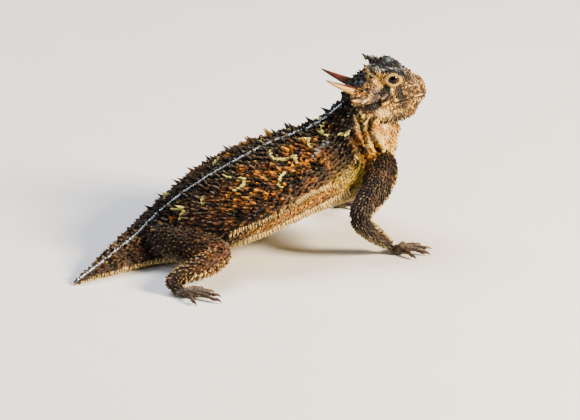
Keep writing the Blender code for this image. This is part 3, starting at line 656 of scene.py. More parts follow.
@dataclass
class Chart:
    """Where each point of the surface lies on the body: part, place along and round, and lie."""

    plan: BodyPlan
    points: list[Array] = field(default_factory=list)
    rows: list[Array] = field(default_factory=list)
    lies: list[Array] = field(default_factory=list)
    tree: KDTree | None = None

    def add(self, grid: Array, part: Part, side: Array, along: Array, around: Array,
            lie: Array, atlas: tuple[float, float, float, float]) -> None:
        """Add a grid of known points.

        Args:
            grid: the points.
            part: the stretch of the body.
            side: -1 for the right and 1 for the left.
            along: the place along the part.
            around: degrees round it.
            lie: the direction in which scales point.
            atlas: the lower corner and size of this part's place on the unwrap.
        """
        span = max(float(np.ptp(along)), 1e-6)
        u = atlas[0] + atlas[2] * (along - along.min()) / span
        v = atlas[1] + atlas[3] * (((around + 180.0) % 360.0) / 360.0)
        kind = np.full(len(grid), float(part.value))
        self.points.append(grid)
        self.rows.append(np.stack((kind, side, along, around, u, v), 1))
        self.lies.append(lie)

    def build(self) -> None:
        """Lay known points over every part and index them."""
        plan = self.plan
        around = np.arange(0.0, 360.0, 5.0)
        stations = np.arange(0.0, len(plan.spine) - 0.99, 0.1)
        s, a = np.repeat(stations, len(around)), np.tile(around, len(stations))
        grid = plan.spine_points(s, a)
        lie = unit(plan.spine_points(np.maximum(s - 0.05, 0.0), a) - plan.spine_points(s + 0.05, a))
        side = np.where(a < 180.0, -1.0, 1.0)
        self.add(grid, Part.SPINE, side, s, a, lie, (0.02, 0.52, 0.96, 0.46))
        stations = np.arange(0.0, len(plan.skull) - 0.99, 0.1)
        s, a = np.repeat(stations, len(around)), np.tile(around, len(stations))
        grid = plan.skull_points(s, a)
        side = np.where(a < 180.0, -1.0, 1.0)
        lie = np.tile(plan.head_vector(-1.0, 0.0, -0.12), (len(grid), 1))
        self.add(grid, Part.HEAD, side, s, a, lie, (0.02, 0.02, 0.3, 0.46))
        for ridge_side in Side:
            for ridge in (plan.brow, plan.shelf, plan.jaw):
                rings = path_rings(plan.head_ridge(ridge, ridge_side), 10, 6)
                grid = rings.reshape(-1, 3)
                local = plan.to_head(grid)
                turn = np.degrees(np.arctan2(-local[:, 1], local[:, 2] - 40.0)) % 360.0
                flat = np.full(len(grid), ridge_side.value)
                lie = np.tile(plan.head_vector(-1.0, 0.0, -0.12), (len(grid), 1))
                self.add(grid, Part.HEAD, flat, local[:, 0], turn, lie, (0.02, 0.02, 0.3, 0.46))
        for number, limb in enumerate(plan.limbs()):
            left = 0.36 + 0.16 * number
            self.add_tube(limb["path"], limb["part"], limb["side"], (left, 0.02, 0.14, 0.34))
            for index, (spread, length) in enumerate(limb["digits"]):
                place = (left + 0.028 * index, 0.38, 0.026, 0.1)
                self.add_tube(plan.digit_path(limb, spread, length), Part.DIGIT, limb["side"], place)
        stacked = np.vstack(self.points)
        self.tree = KDTree(len(stacked))
        for index, point in enumerate(stacked):
            self.tree.insert(point, index)
        self.tree.balance()
        self.rows = [np.vstack(self.rows)]
        self.lies = [np.vstack(self.lies)]

    def add_tube(self, path: Array, part: Part, side: Side, atlas: tuple) -> None:
        """Add known points round a limb or digit.

        Args:
            path: rows of x, y, z and two radii.
            part: the stretch of the body.
            side: the side of the body.
            atlas: the lower corner and size of its place on the unwrap.
        """
        rings = path_rings(path, 20, 10)
        centres = rings.mean(axis=1)
        along = np.repeat(np.linspace(0.0, 1.0, len(rings)), 20)
        around = np.tile(np.arange(20) * 18.0, len(rings))
        lie = np.repeat(unit(np.gradient(centres, axis=0)), 20, axis=0)
        flat = np.full(len(along), side.value)
        self.add(rings.reshape(-1, 3), part, flat, along, around, lie, atlas)

    def read(self, points: Array) -> dict[str, Array]:
        """Look points up.

        Args:
            points: rows in the working frame.

        Returns:
            part, side, along, around, u, v and lie for each row.
        """
        index = np.array([self.tree.find(point)[1] for point in points])
        rows = self.rows[0][index]
        names = ("part", "side", "along", "around", "u", "v")
        found = {name: rows[:, number] for number, name in enumerate(names)}
        found["lie"] = self.lies[0][index]
        found["away"] = np.where(found["around"] > 180.0, 360.0 - found["around"], found["around"])
        return found


@dataclass(frozen=True)
class Palette:
    """The lizard's colours, as they look on dry horny skin."""

    black: str = "#120d0a"
    dark: str = "#231813"
    brown: str = "#4b3629"
    grey: str = "#736a69"
    rust: str = "#7a4a2a"
    orange: str = "#d8933f"
    tan: str = "#d9a44a"
    pink: str = "#b8936c"
    cream: str = "#f0d898"
    rim: str = "#dfd88c"
    olive: str = "#a39643"
    stripe: str = "#d5e0ea"
    lichen: str = "#697883"
    yellow: str = "#dcb650"

    def __getitem__(self, name: str) -> Array:
        """One colour in linear light."""
        return linear(getattr(self, name))


@dataclass
class Markings:
    """The pattern that the skin and the scales share, worked out from the place on the body."""

    plan: BodyPlan
    palette: Palette = field(default_factory=Palette)
    # dark blotches of the back: station, angle, radius of the black and of the orange heart
    hearts: tuple = (
        (14.45, 25.0, 2.2, 0.9),
        (13.0, 28.0, 2.1, 0.6),
        (11.35, 24.0, 3.4, 2.0),
        (9.35, 19.0, 3.3, 1.8),
        (10.75, 56.0, 2.4, 0.7),
        (6.4, 29.0, 2.3, 1.0),
        (8.3, 62.0, 2.0, 0.0),
        (7.9, 22.0, 1.4, 0.0),
        (12.0, 62.0, 1.5, 0.0),
    )
    # their pale rims as corners of station and degrees from the midline
    rims: tuple = (
        ((14.35, 12.0), (13.85, 18.0), (13.65, 27.0), (13.95, 36.0)),
        ((12.2, 18.0), (12.65, 24.0), (12.45, 30.0), (12.45, 36.0)),
        ((10.7, 15.0), (10.6, 27.0), (10.9, 33.0), (11.45, 36.0), (11.3, 45.0)),
        ((8.75, 15.0), (8.85, 21.0), (9.25, 30.0), (9.05, 36.0), (8.65, 36.0)),
        ((10.6, 46.0), (10.35, 49.0), (10.15, 54.0), (10.2, 60.0)),
        ((6.6, 15.0), (6.9, 27.0), (6.6, 36.0)),
        ((7.65, 25.0), (7.5, 34.0)),
        ((14.6, 42.0), (14.9, 51.0), (15.4, 51.0)),
    )
    # a greyish streak behind the nape, and the deep creases of the neck and the shoulder
    streaks: tuple = (((13.5, 39.0), (12.6, 42.0), (12.15, 48.0)),)
    creases: tuple = (
        ((17.3, 36.0), (16.95, 48.0), (16.45, 60.0), (15.95, 69.0), (15.5, 82.0)),
        ((17.3, 70.0), (16.5, 76.0), (16.05, 90.0), (15.7, 102.0), (15.3, 120.0)),
        ((15.3, 56.0), (15.0, 76.0), (14.5, 96.0), (14.3, 112.0)),
    )
    # strokes of the face: forward and height corners
    cheek_band: tuple = ((1.8, 44.2), (2.6, 42.3), (3.3, 40.7), (4.0, 38.3), (3.2, 36.0))
    # the second stroke is painted shadow under the temple's shelf, over skin that is dark there too
    shelf_shadow_band: tuple = ((-6.9, 40.5), (-4.6, 41.5), (-2.3, 42.8), (-1.6, 44.3))

    def stroke(self, ahead: Array, height: Array, corners: tuple) -> Array:
        """Distance on the face's side from a drawn line.

        Args:
            ahead: forward of the eyes.
            height: above the floor.
            corners: the line's forward and height corners.

        Returns:
            One distance for each place.
        """
        rows = np.array(corners)
        fine = np.linspace(0.0, len(rows) - 1.0, 12 * (len(rows) - 1) + 1)
        line = [np.interp(fine, np.arange(len(rows)), rows[:, axis]) for axis in (0, 1)]
        samples = np.stack((*line, 0.0 * fine), 1)
        return distance_to(np.stack((ahead, height, 0.0 * ahead), 1), samples)

    def blotch(self, colour: Array, points: Array, grain: Array) -> Array:
        """Paint the dark blotches with an orange heart and their pale rims.

        Args:
            colour: the ground colour.
            points: rows in the working frame.
            grain: a random value for each row that breaks the edges.

        Returns:
            The colour with the blotches on it.
        """
        tone = self.palette
        ragged = noise(points, 1.3, 21.0)
        for station, angle, wide, heart in self.hearts:
            for side in Side:
                centre = self.plan.spine_points(np.array([station]), np.array([side.turn(angle)]))
                away = np.linalg.norm(points - centre, axis=1)
                edge = away / wide + (ragged - 0.5) * 0.7 + (grain - 0.5) * 0.2
                colour = mix(colour, tone["black"], 1.0 - ramp(edge, 0.95, 1.12))
                # Orange heart: partly the scales' own orange and partly painted highlight of the lit spiky
                # scales round the blotch's middle.
                if heart > 0.0:
                    core = away / heart + (grain - 0.5) * 1.2
                    flame = mix(tone["rust"], tone["orange"], grain * 2.2 - 0.5)
                    colour = mix(colour, flame, (1.0 - ramp(core, 0.75, 1.15)) * 0.95)
        streak = distance_to(points, self.plan.trace_points(self.streaks))
        colour = mix(colour, tone["lichen"], (1.0 - ramp(streak, 0.5, 1.0)) * 0.8)
        rim = distance_to(points, self.plan.trace_points(self.rims))
        colour = mix(colour, tone["black"], (1.0 - ramp(rim, 0.9, 1.3)) * 0.6)
        return mix(colour, tone["rim"], 1.0 - ramp(rim, 0.34, 0.55))

    def trunk(self, points: Array, at: dict[str, Array]) -> Array:
        """Colours of the tail, trunk and neck.

        Args:
            points: rows in the working frame.
            at: the chart's reading of the same rows.

        Returns:
            Linear colours, one row each.
        """
        tone = self.palette
        station, away = at["along"], at["away"]
        fine, wide, patch = noise(points, 0.45), noise(points, 2.0, 1.0), noise(points, 5.0, 2.0)
        colour = mix(tone["dark"], tone["brown"], wide * 1.3 - 0.3 + (fine - 0.5) * 0.8)
        colour = mix(colour, tone["black"], ramp(noise(points, 0.5, 5.0), 0.58, 0.72) * 0.7)
        # Grey speckles: partly the back's own grey and partly painted sheen of lit scales.
        colour = mix(colour, tone["grey"], ramp(noise(points, 0.5, 6.0), 0.66, 0.8) * 0.6)
        # Rust and bright orange on the mid-flank: partly the flank's own colour and partly painted highlight
        # of lit scales.
        warm = hump(away, 50.0, 24.0) * ramp(station, 7.0, 9.2) * (1.0 - ramp(station, 12.2, 13.8))
        colour = mix(colour, tone["rust"], warm * ramp(wide * 0.5 + fine * 0.6, 0.42, 0.66))
        bright = ramp(fine + patch * 0.3 + wide * 0.3, 0.86, 1.05)
        colour = mix(colour, tone["orange"], warm * bright * 0.9)
        cape = ramp(station, 12.6, 13.4) * (1.0 - ramp(station, 14.6, 15.2))
        cape = cape * (1.0 - ramp(away, 70.0, 90.0))
        colour = mix(colour, tone["dark"], cape * 0.5)
        rump = hump(station, 6.2, 1.6) * hump(away, 50.0, 30.0)
        colour = mix(colour, tone["grey"], rump * ramp(noise(points, 0.6, 14.0), 0.55, 0.75) * 0.5)
        colour = mix(colour, tone["rust"], rump * ramp(fine + wide * 0.4, 0.6, 0.9) * 0.6)
        colour = mix(colour, tone["black"], hump(away, 8.0, 7.0) * 0.8)
        colour = self.blotch(colour, points, fine)
        nape = ramp(station, 15.2, 16.4) * (1.0 - ramp(away, 34.0, 48.0))
        colour = mix(colour, tone["black"], nape * 0.75)
        colour = mix(colour, tone["lichen"], nape * ramp(noise(points, 0.6, 9.0), 0.62, 0.76) * 0.8)
        armpit = ramp(station, 11.8, 12.8) * (1.0 - ramp(station, 14.4, 15.2)) * hump(away, 100.0, 15.0)
        colour = mix(colour, mix(tone["olive"], tone["yellow"], wide), armpit * (0.75 + 0.3 * fine))
        flank = hump(away, 99.0, 10.0) * ramp(station, 7.4, 9.0) * (1.0 - ramp(station, 12.0, 13.0))
        colour = mix(colour, mix(tone["tan"], tone["rust"], fine * 1.4 - 0.1), flank * 0.85)
        shoulder = ramp(station, 14.2, 15.0) * (1.0 - ramp(station, 15.6, 16.6)) * ramp(away, 50.0, 82.0)
        colour = mix(colour, tone["orange"], shoulder * ramp(wide + fine * 0.6, 0.45, 0.85) * 0.85)
        neck = ramp(station + (away - 60.0) * 0.02, 15.5, 16.4) * ramp(away, 40.0, 58.0)
        throat = mix(tone["tan"], tone["pink"], wide * 1.6 - 0.3)
        throat = mix(throat, tone["orange"], ramp(noise(points, 1.4, 11.0), 0.46, 0.72) * 0.75)
        # Painted highlight: cream patches on the throat and the neck's folds.
        throat = mix(throat, tone["cream"], ramp(noise(points, 1.8, 17.0), 0.42, 0.66) * 0.8)
        low = ramp(away, 92.0, 128.0) * (1.0 - ramp(station, 16.2, 17.2))
        sallow = np.maximum(ramp(patch + fine * 0.3, 0.62, 0.9) * 0.5, low * 0.6)
        throat = mix(throat, tone["yellow"], sallow)
        throat = mix(throat, tone["brown"], ramp(noise(points, 0.5, 12.0), 0.62, 0.76) * 0.8)
        colour = mix(colour, throat, neck)
        # Painted shade: black along the deep creases of the neck and the shoulder.
        crease = distance_to(points, self.plan.trace_points(self.creases))
        colour = mix(colour, tone["black"], (1.0 - ramp(crease, 0.55, 1.05)) * 0.9)
        belly = ramp(away, 108.0, 118.0) * (1.0 - ramp(station, 15.4, 16.4))
        under = mix(tone["cream"], tone["tan"], ramp(wide, 0.5, 0.9) * 0.5)
        under = mix(under, tone["grey"], ramp(noise(points, 2.0, 8.0), 0.74, 0.86) * 0.7)
        colour = mix(colour, under, belly * (0.75 + 0.25 * fine))
        tail = 1.0 - ramp(station, 4.6, 5.8)
        bands = ramp(np.sin(points[:, 0] * 1.1) + (wide - 0.5) * 1.2, 0.1, 0.8)
        bar = mix(tone["brown"], tone["dark"], bands)
        bar = mix(bar, tone["pink"], ramp(fine, 0.64, 0.84) * 0.3)
        colour = mix(colour, bar, tail * (1.0 - ramp(away, 84.0, 104.0)))
        arc = np.abs(points[:, 1] - self.plan.spine_points(station, away * 0.0)[:, 1])
        line = (1.0 - ramp(arc, 0.14, 0.3)) * (away < 15.0) * (station < 16.9)
        return mix(colour, tone["stripe"], line)

    def head(self, points: Array, normals: Array) -> Array:
        """Colours of the head, from the head's own frame.

        Args:
            points: rows in the working frame.
            normals: the surface's outward directions.

        Returns:
            Linear colours, one row each.
        """
        tone = self.palette
        local = self.plan.to_head(points)
        ahead, out, height = local[:, 0], np.abs(local[:, 1]), local[:, 2]
        fine, wide = noise(points, 0.4, 3.0), noise(points, 1.7, 4.0)
        blotchy = (fine - 0.5) * 1.1 + (wide - 0.5) * 0.8
        colour = mix(tone["tan"], tone["pink"], wide * 1.6 - 0.5)
        colour = mix(colour, tone["orange"], ramp(noise(points, 1.9, 6.0), 0.42, 0.7) * 0.8)
        # Painted highlight: cream patches over the face.
        colour = mix(colour, tone["cream"], ramp(noise(points, 0.9, 16.0), 0.55, 0.75) * 0.7)
        colour = mix(colour, tone["cream"], (1.0 - ramp(fine, 0.22, 0.38)) * 0.7)
        colour = mix(colour, tone["brown"] * 0.8, ramp(fine + (wide - 0.5) * 0.4, 0.4, 0.52) * 0.95)
        # Painted shade: the face ahead of the eyes is drawn up to 30% darker.
        colour = colour * (1.0 - 0.3 * ramp(ahead, -1.5, 2.0))[:, None]
        snout = ramp(ahead, 3.6, 6.4) * ramp(height, 43.2, 45.0)
        speck = mix(tone["pink"] * 0.85, tone["dark"], ramp(fine, 0.45, 0.62))
        colour = mix(colour, speck, snout * 0.6)
        strip = ramp(height, 46.4, 47.2) * ramp(out, 5.0, 5.6)
        strip = strip * (1.0 - ramp(ahead, 2.2, 3.6)) * ramp(ahead, -7.0, -6.2)
        colour = mix(colour, mix(tone["orange"], tone["cream"], wide), strip * 0.7)
        rear = (1.0 - ramp(ahead, -6.6, -5.0)) * ramp(height, 42.0, 43.0)
        colour = mix(colour, tone["orange"], rear * ramp(wide, 0.35, 0.6) * 0.8)
        colour = mix(colour, tone["dark"], rear * ramp(fine, 0.5, 0.66) * 0.8)
        gold = np.maximum(
            hump(ahead, -2.8, 2.6) * hump(height, 38.3, 1.5) * ramp(out, 5.0, 7.0),
            hump(ahead, -3.6, 2.2) * hump(height, 46.9, 1.5) * ramp(out, 5.0, 6.2),
        )
        gold = ramp(gold + (fine - 0.5) * 0.5, 0.35, 0.75)
        colour = mix(colour, mix(tone["tan"], tone["cream"], wide), gold * 0.8)
        temple = hump(ahead, -4.9, 2.3) * hump(height, 44.1, 1.25) * ramp(out, 6.0, 8.0)
        colour = mix(colour, mix(tone["grey"], tone["pink"], wide * 0.8), temple * 0.95)
        band = self.stroke(ahead, height, self.cheek_band) + (noise(points, 1.1, 31.0) - 0.5) * 2.2
        fade = 0.6 + 0.4 * ramp(height, 38.5, 41.5)
        cheek = (1.0 - ramp(band + blotchy * 1.2, 0.55, 1.2)) * ramp(out, 1.5, 3.0)
        colour = mix(colour, tone["dark"], cheek * fade)
        # Painted shadow under the temple's shelf, over skin that is dark there too: black along the second
        # stroke.
        band = self.stroke(ahead, height, self.shelf_shadow_band) - 0.9 * hump(ahead, -4.6, 1.7)
        shadow_and_dark_skin = (1.0 - ramp(band + blotchy * 0.4, 1.05, 1.4)) * ramp(out, 5.0, 7.0)
        colour = mix(colour, tone["black"], shadow_and_dark_skin)
        bar = hump(ahead, -0.15, 0.42) * hump(height, 44.2, 1.3) * ramp(out, 4.0, 6.0)
        colour = mix(colour, tone["cream"], ramp(bar, 0.4, 0.8) * 0.9)
        over = height - self.plan.brow_height(ahead)
        facing = (normals @ self.plan.head_vector(0.0, 1.0, 0.0)) * np.sign(local[:, 1])
        inner = np.maximum(1.0 - ramp(out, 3.6, 4.4), 1.0 - ramp(facing, 0.25, 0.55))
        crown = np.maximum(inner * ramp(over, -1.9, -1.2), ramp(over, 0.0, 0.4))
        crown = np.maximum(crown, (1.0 - ramp(ahead, -5.6, -4.6)) * ramp(height, 48.6, 49.0))
        rear = (1.0 - ramp(ahead, -7.2, -5.8)) * (1.0 - ramp(out, 4.2, 5.6)) * ramp(height, 41.6, 42.8)
        crown = np.maximum(crown, rear) * (1.0 - ramp(ahead + (wide - 0.5) * 3.0, 4.0, 6.0) * 0.85)
        pale = ramp(noise(points, 1.2, 7.0), 0.58, 0.74)
        patch = mix(tone["black"], tone["lichen"], pale * 0.8)
        colour = mix(colour, patch, crown)
        mouth = 1.0 - ramp(np.abs(self.plan.mouth_offset(local)), 0.12, 0.3)
        colour = mix(colour, tone["dark"], mouth * 0.7)
        lid = np.hypot(ahead - 0.1, (height - 47.3) * 1.15)
        ring = (1.0 - ramp(lid, 1.6, 2.0)) * ramp(out, 5.8, 6.6)
        return mix(colour, mix(tone["cream"], tone["pink"], fine), ring * 0.85)

    def limb(self, points: Array, at: dict[str, Array]) -> Array:
        """Colours of the limbs and digits.

        Args:
            points: rows in the working frame.
            at: the chart's reading of the same rows.

        Returns:
            Linear colours, one row each.
        """
        tone = self.palette
        fine, wide = noise(points, 0.7, 9.0), noise(points, 2.1, 10.0)
        colour = mix(tone["dark"], tone["brown"], wide * 1.5 - 0.2)
        colour = mix(colour, tone["black"], ramp(noise(points, 1.8, 22.0), 0.5, 0.66) * 0.6)
        arm = np.where(at["part"] == Part.ARM.value, 1.0 - ramp(at["along"], 0.12, 0.3), 0.0)
        colour = mix(colour, tone["orange"], arm * ramp(wide, 0.4, 0.62) * 0.6)
        knee = np.where(at["part"] == Part.LEG.value, hump(at["along"], 0.45, 0.22), 0.0)
        colour = mix(colour, tone["rust"], knee * ramp(fine + wide * 0.4, 0.4, 0.8) * 0.9)
        colour = mix(colour, tone["orange"], knee * ramp(fine, 0.72, 0.9) * 0.8)
        digit = (at["part"] == Part.DIGIT.value).astype(float)
        light = mix(tone["brown"], tone["grey"], wide)
        return mix(colour, light, digit * 0.75)

    def paint(self, points: Array, normals: Array, at: dict[str, Array]) -> Array:
        """Colours anywhere on the body.

        Args:
            points: rows in the working frame.
            normals: the surface's outward directions.
            at: the chart's reading of the same rows.

        Returns:
            Linear colours, one row each.
        """
        tone = self.palette
        colour = np.zeros((len(points), 3))
        spine = at["part"] == Part.SPINE.value
        head = at["part"] == Part.HEAD.value
        limb = ~(spine | head)
        pick = {name: value[spine] for name, value in at.items()}
        colour[spine] = self.trunk(points[spine], pick)
        colour[head] = self.head(points[head], normals[head])
        pick = {name: value[limb] for name, value in at.items()}
        colour[limb] = self.limb(points[limb], pick)
        under = ramp(-normals[:, 2], 0.35, 0.8) * (points[:, 2] < 30.0) * np.where(limb, 0.35, 0.7)
        return mix(colour, tone["cream"] * 0.8, under)


def mesh_piece(
    name: str, points: Array, corners: Array, starts: Array, smooth: Array
) -> bpy.types.Object:
    """Make an object from plain arrays.

    Args:
        name: the piece's name.
        points: rows in metres.
        corners: the point number of every face corner.
        starts: where each face's corners start.
        smooth: whether each face is shaded smooth.

    Returns:
        The object, linked to the scene.
    """
    mesh = bpy.data.meshes.new(name)
    mesh.vertices.add(len(points))
    mesh.vertices.foreach_set("co", points.astype(np.float32).ravel())
    mesh.loops.add(len(corners))
    mesh.loops.foreach_set("vertex_index", corners.astype(np.int32))
    mesh.polygons.add(len(starts))
    mesh.polygons.foreach_set("loop_start", starts.astype(np.int32))
    mesh.update(calc_edges=True)
    mesh.polygons.foreach_set("use_smooth", smooth.astype(bool))
    mesh.validate()
    return link_piece(mesh)


def link_piece(mesh: bpy.types.Mesh) -> bpy.types.Object:
    """Put a mesh in the scene as a piece of the same name.

    Args:
        mesh: the finished mesh.

    Returns:
        The object that shows it.
    """
    piece = bpy.data.objects.new(mesh.name, mesh)
    bpy.context.scene.collection.objects.link(piece)
    return piece


def smooth_piece(name: str, points: Array, faces: list, colours: Array) -> bpy.types.Object:
    """Make a smooth painted piece from closed shapes, with its faces turned outwards.

    Args:
        name: the piece's name.
        points: rows in metres.
        faces: the point numbers of each face.
        colours: one linear colour for each point.

    Returns:
        The object, linked to the scene.
    """
    mesh = bpy.data.meshes.new(name)
    mesh.from_pydata(points.tolist(), [], faces)
    shape = bmesh.new()
    shape.from_mesh(mesh)
    bmesh.ops.recalc_face_normals(shape, faces=shape.faces)
    shape.to_mesh(mesh)
    shape.free()
    piece = link_piece(mesh)
    paint_mesh(piece, colours)
    mesh.shade_smooth()
    return piece


def paint_mesh(piece: bpy.types.Object, colours: Array) -> None:
    """Store the markings on a piece.

    Args:
        piece: the piece.
        colours: one linear colour for each vertex.
    """
    layer = piece.data.color_attributes.new("Markings", "FLOAT_COLOR", "POINT")
    opaque = np.hstack((colours, np.ones((len(colours), 1))))
    layer.data.foreach_set("color", opaque.astype(np.float32).ravel())


def settle(piece: bpy.types.Object, finish: bpy.types.Material, slot: str, *nodes: str) -> None:
    """Dress a piece, hang it on the body and hide the CAD nodes that it stands for.

    Args:
        piece: the piece.
        finish: its material.
        slot: not used.
        nodes: the CAD nodes that it replaces.
    """
    piece.data.materials.clear()
    piece.data.materials.append(finish)
    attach(piece, BODY)
    if nodes:
        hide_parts(*nodes)
    log.info("%s: %d faces", piece.name, len(piece.data.polygons))


@dataclass
class Skin:
    """The one folded skin that covers the whole animal under its scales."""

    plan: BodyPlan
    chart: Chart
    voxel: float = 0.48
    coat_depth: float = 0.32
    floor_clearance: float = 0.12
    lid_opening: tuple = (38.0, 26.0)
    socket_wall: float = 0.16
    gaze: tuple = (0.06, 1.0, 0.1)
    # the head's skin is drawn finer, within this reach of its middle
    head_middle: tuple = (0.0, 0.0, 42.0)
    head_reach: float = 11.2
    # painted shade: how much darker the skin is than the scales over it, standing for the shade in the gaps
    # between them
    shade: float = 0.62
    points: Array = field(default_factory=lambda: np.zeros((0, 3)))
    normals: Array = field(default_factory=lambda: np.zeros((0, 3)))
    triangles: Array = field(default_factory=lambda: np.zeros((0, 3), int))

    def eye_axes(self, side: Side) -> tuple[Array, Array, Array, Array]:
        """Where one eyeball sits and looks.

        Args:
            side: which eye.

        Returns:
            Its middle, and its outward, forward and upward axes in the working frame.
        """
        centre = self.plan.head_point(*self.plan.eye_point(side))
        out = self.plan.head_vector(self.gaze[0], self.gaze[1] * side.value, self.gaze[2])
        front = self.plan.head_vector(1.0, 0.0, 0.0)
        ahead = unit(front - out * (front @ out))
        up = np.cross(ahead, out) * -side.value
        return centre, out, ahead, up if up[2] > 0 else -up

    def fuse(self) -> bpy.types.Object:
        """Join the masses into one closed surface and refine the head.

        Returns:
            The bare skin, in working metres.
        """
        sketch = self.plan.flesh()
        mesh = bpy.data.meshes.new("skin")
        mesh.from_pydata((np.vstack(sketch.points) * MM).tolist(), [], sketch.faces)
        piece = link_piece(mesh)
        fuse = piece.modifiers.new("fuse", "REMESH")
        fuse.mode = "VOXEL"
        fuse.voxel_size = self.voxel * MM
        relax = piece.modifiers.new("relax", "SMOOTH")
        relax.factor = 0.5
        relax.iterations = 3
        bpy.context.view_layer.update()
        graph = bpy.context.evaluated_depsgraph_get()
        fused = bpy.data.meshes.new_from_object(piece.evaluated_get(graph))
        piece.modifiers.clear()
        piece.data = fused
        shape = bmesh.new()
        shape.from_mesh(fused)
        middle = Vector(self.plan.head_point(*self.head_middle)) * MM
        reach = self.head_reach * MM
        chosen = [edge for edge in shape.edges if (edge.verts[0].co - middle).length < reach]
        bmesh.ops.subdivide_edges(shape, edges=chosen, cuts=1, use_grid_fill=True)
        bmesh.ops.triangulate(shape, faces=[face for face in shape.faces if len(face.verts) > 4])
        shape.to_mesh(fused)
        shape.free()
        return piece

    def read_mesh(self, piece: bpy.types.Object) -> None:
        """Take the surface's points, normals and triangles in the working frame.

        Args:
            piece: the skin.
        """
        mesh = piece.data
        count = len(mesh.vertices)
        values = np.zeros(count * 3, np.float32)
        mesh.vertices.foreach_get("co", values)
        self.points = values.reshape(-1, 3).astype(float) / MM
        mesh.vertex_normals.foreach_get("vector", values)
        self.normals = values.reshape(-1, 3).astype(float)
        mesh.calc_loop_triangles()
        corners = np.zeros(len(mesh.loop_triangles) * 3, np.int32)
        mesh.loop_triangles.foreach_get("vertices", corners)
        self.triangles = corners.reshape(-1, 3)

    def write_points(self, piece: bpy.types.Object) -> None:
        """Move the mesh to the kept points.

        Args:
            piece: the skin.
        """
        piece.data.vertices.foreach_set("co", (self.points * MM).astype(np.float32).ravel())
        piece.data.update()
        self.read_mesh(piece)

    def sculpt(self, at: dict[str, Array], creases: tuple) -> None:
        """Press in the mouth, nostrils, ears and neck creases, and ripple the loose skin.

        Args:
            at: the chart's reading of the skin's points.
            creases: the neck's deep creases, as lines drawn on the trunk.
        """
        local = self.plan.to_head(self.points)
        head = (at["part"] == Part.HEAD.value) & (local[:, 2] > 30.0)
        push = np.zeros(len(self.points))
        gap = self.plan.mouth_offset(local)
        push -= head * 0.55 * hump(gap, 0.0, 0.22)
        push += head * 0.16 * (hump(gap, 0.6, 0.35) + hump(gap, -0.65, 0.35))
        out = np.abs(local[:, 1])
        nostril = np.sqrt((local[:, 0] - 8.1) ** 2 + (out - 1.9) ** 2 + (local[:, 2] - 44.5) ** 2)
        push += head * (0.22 * hump(nostril, 0.75, 0.3) - 0.75 * hump(nostril, 0.0, 0.42))
        ear = np.hypot((local[:, 0] + 4.1) / 1.3, (local[:, 2] - 41.0) / 0.85)
        push -= head * (out > 5.5) * 0.9 * hump(ear, 0.0, 0.8)
        push += head * 0.1 * (noise(self.points, 0.9, 12.0) - 0.5)
        spine = at["part"] == Part.SPINE.value
        station, away = at["along"], at["away"]
        near = spine & (station > 13.6)
        deep = np.full(len(self.points), 9.0)
        deep[near] = distance_to(self.points[near], self.plan.trace_points(creases))
        push -= 1.5 * hump(deep, 0.0, 0.55)
        push += 0.7 * hump(deep, 1.5, 0.65)
        loose = spine * ramp(station, 12.6, 14.0) * ramp(away, 60.0, 90.0) * (deep > 1.6)
        push += loose * 0.25 * np.sin(station * 8.0 + np.sin(away * 0.09) * 1.6)
        flank = spine * hump(away, 96.0, 4.5) * ramp(station, 6.5, 8.5) * (1.0 - ramp(station, 12.4, 13.6))
        push -= flank * 0.7
        push += spine * 0.22 * (noise(self.points, 2.2, 13.0) - 0.5)
        self.points = self.points + self.normals * (push - self.coat_depth)[:, None]

    def shape_lids(self, side: Side) -> None:
        """Wrap the skin round one eyeball as two lids with creases and an oval opening.

        Args:
            side: which eye.
        """
        centre, out, ahead, up = self.eye_axes(side)
        offset = self.points - centre
        distance = np.linalg.norm(offset, axis=1)
        x, y, z = offset @ ahead, offset @ up, offset @ out
        near = (distance < 4.4) & (z > 0.2)
        across = np.degrees(np.arctan2(x, z)) / self.lid_opening[0]
        tall = np.degrees(np.arctan2(y, z)) / self.lid_opening[1]
        measure = np.hypot(across, tall)
        ball = self.plan.eye_radius
        shell = ball + 0.12 + 0.26 * ramp(measure, 1.0, 1.35) + 0.07 * np.sin(measure * 11.0)
        shell = np.where(measure < 0.98, ball - 0.4, shell)
        share = (1.0 - ramp(measure, 1.6, 2.3)) * near
        wanted = centre + unit(offset) * shell[:, None]
        self.points += (wanted - self.points) * share[:, None]
        offset = self.points - centre
        distance = np.linalg.norm(offset, axis=1)
        short = (distance < ball + self.socket_wall) & ~(near & (measure < 1.0))
        self.points[short] = centre + unit(offset[short]) * (ball + self.socket_wall)

    def build(self, markings: Markings) -> bpy.types.Object:
        """Make, sculpt and paint the skin.

        Args:
            markings: the animal's pattern.

        Returns:
            The skin in the part's frame.
        """
        piece = self.fuse()
        self.read_mesh(piece)
        self.sculpt(self.chart.read(self.points), markings.creases)
        for side in Side:
            self.shape_lids(side)
        self.points[:, 2] = np.maximum(self.points[:, 2], self.floor_clearance)
        self.write_points(piece)
        at = self.chart.read(self.points)
        # Painted shade: the skin takes the pattern drawn darker, for the shade in the gaps between the
        # scales.
        colours = markings.paint(self.points, self.normals, at) * self.shade
        paint_mesh(piece, colours)
        piece.data.vertices.foreach_set("co", self.plan.place(self.points).astype(np.float32).ravel())
        piece.data.update()
        piece.data.shade_smooth()
        return piece


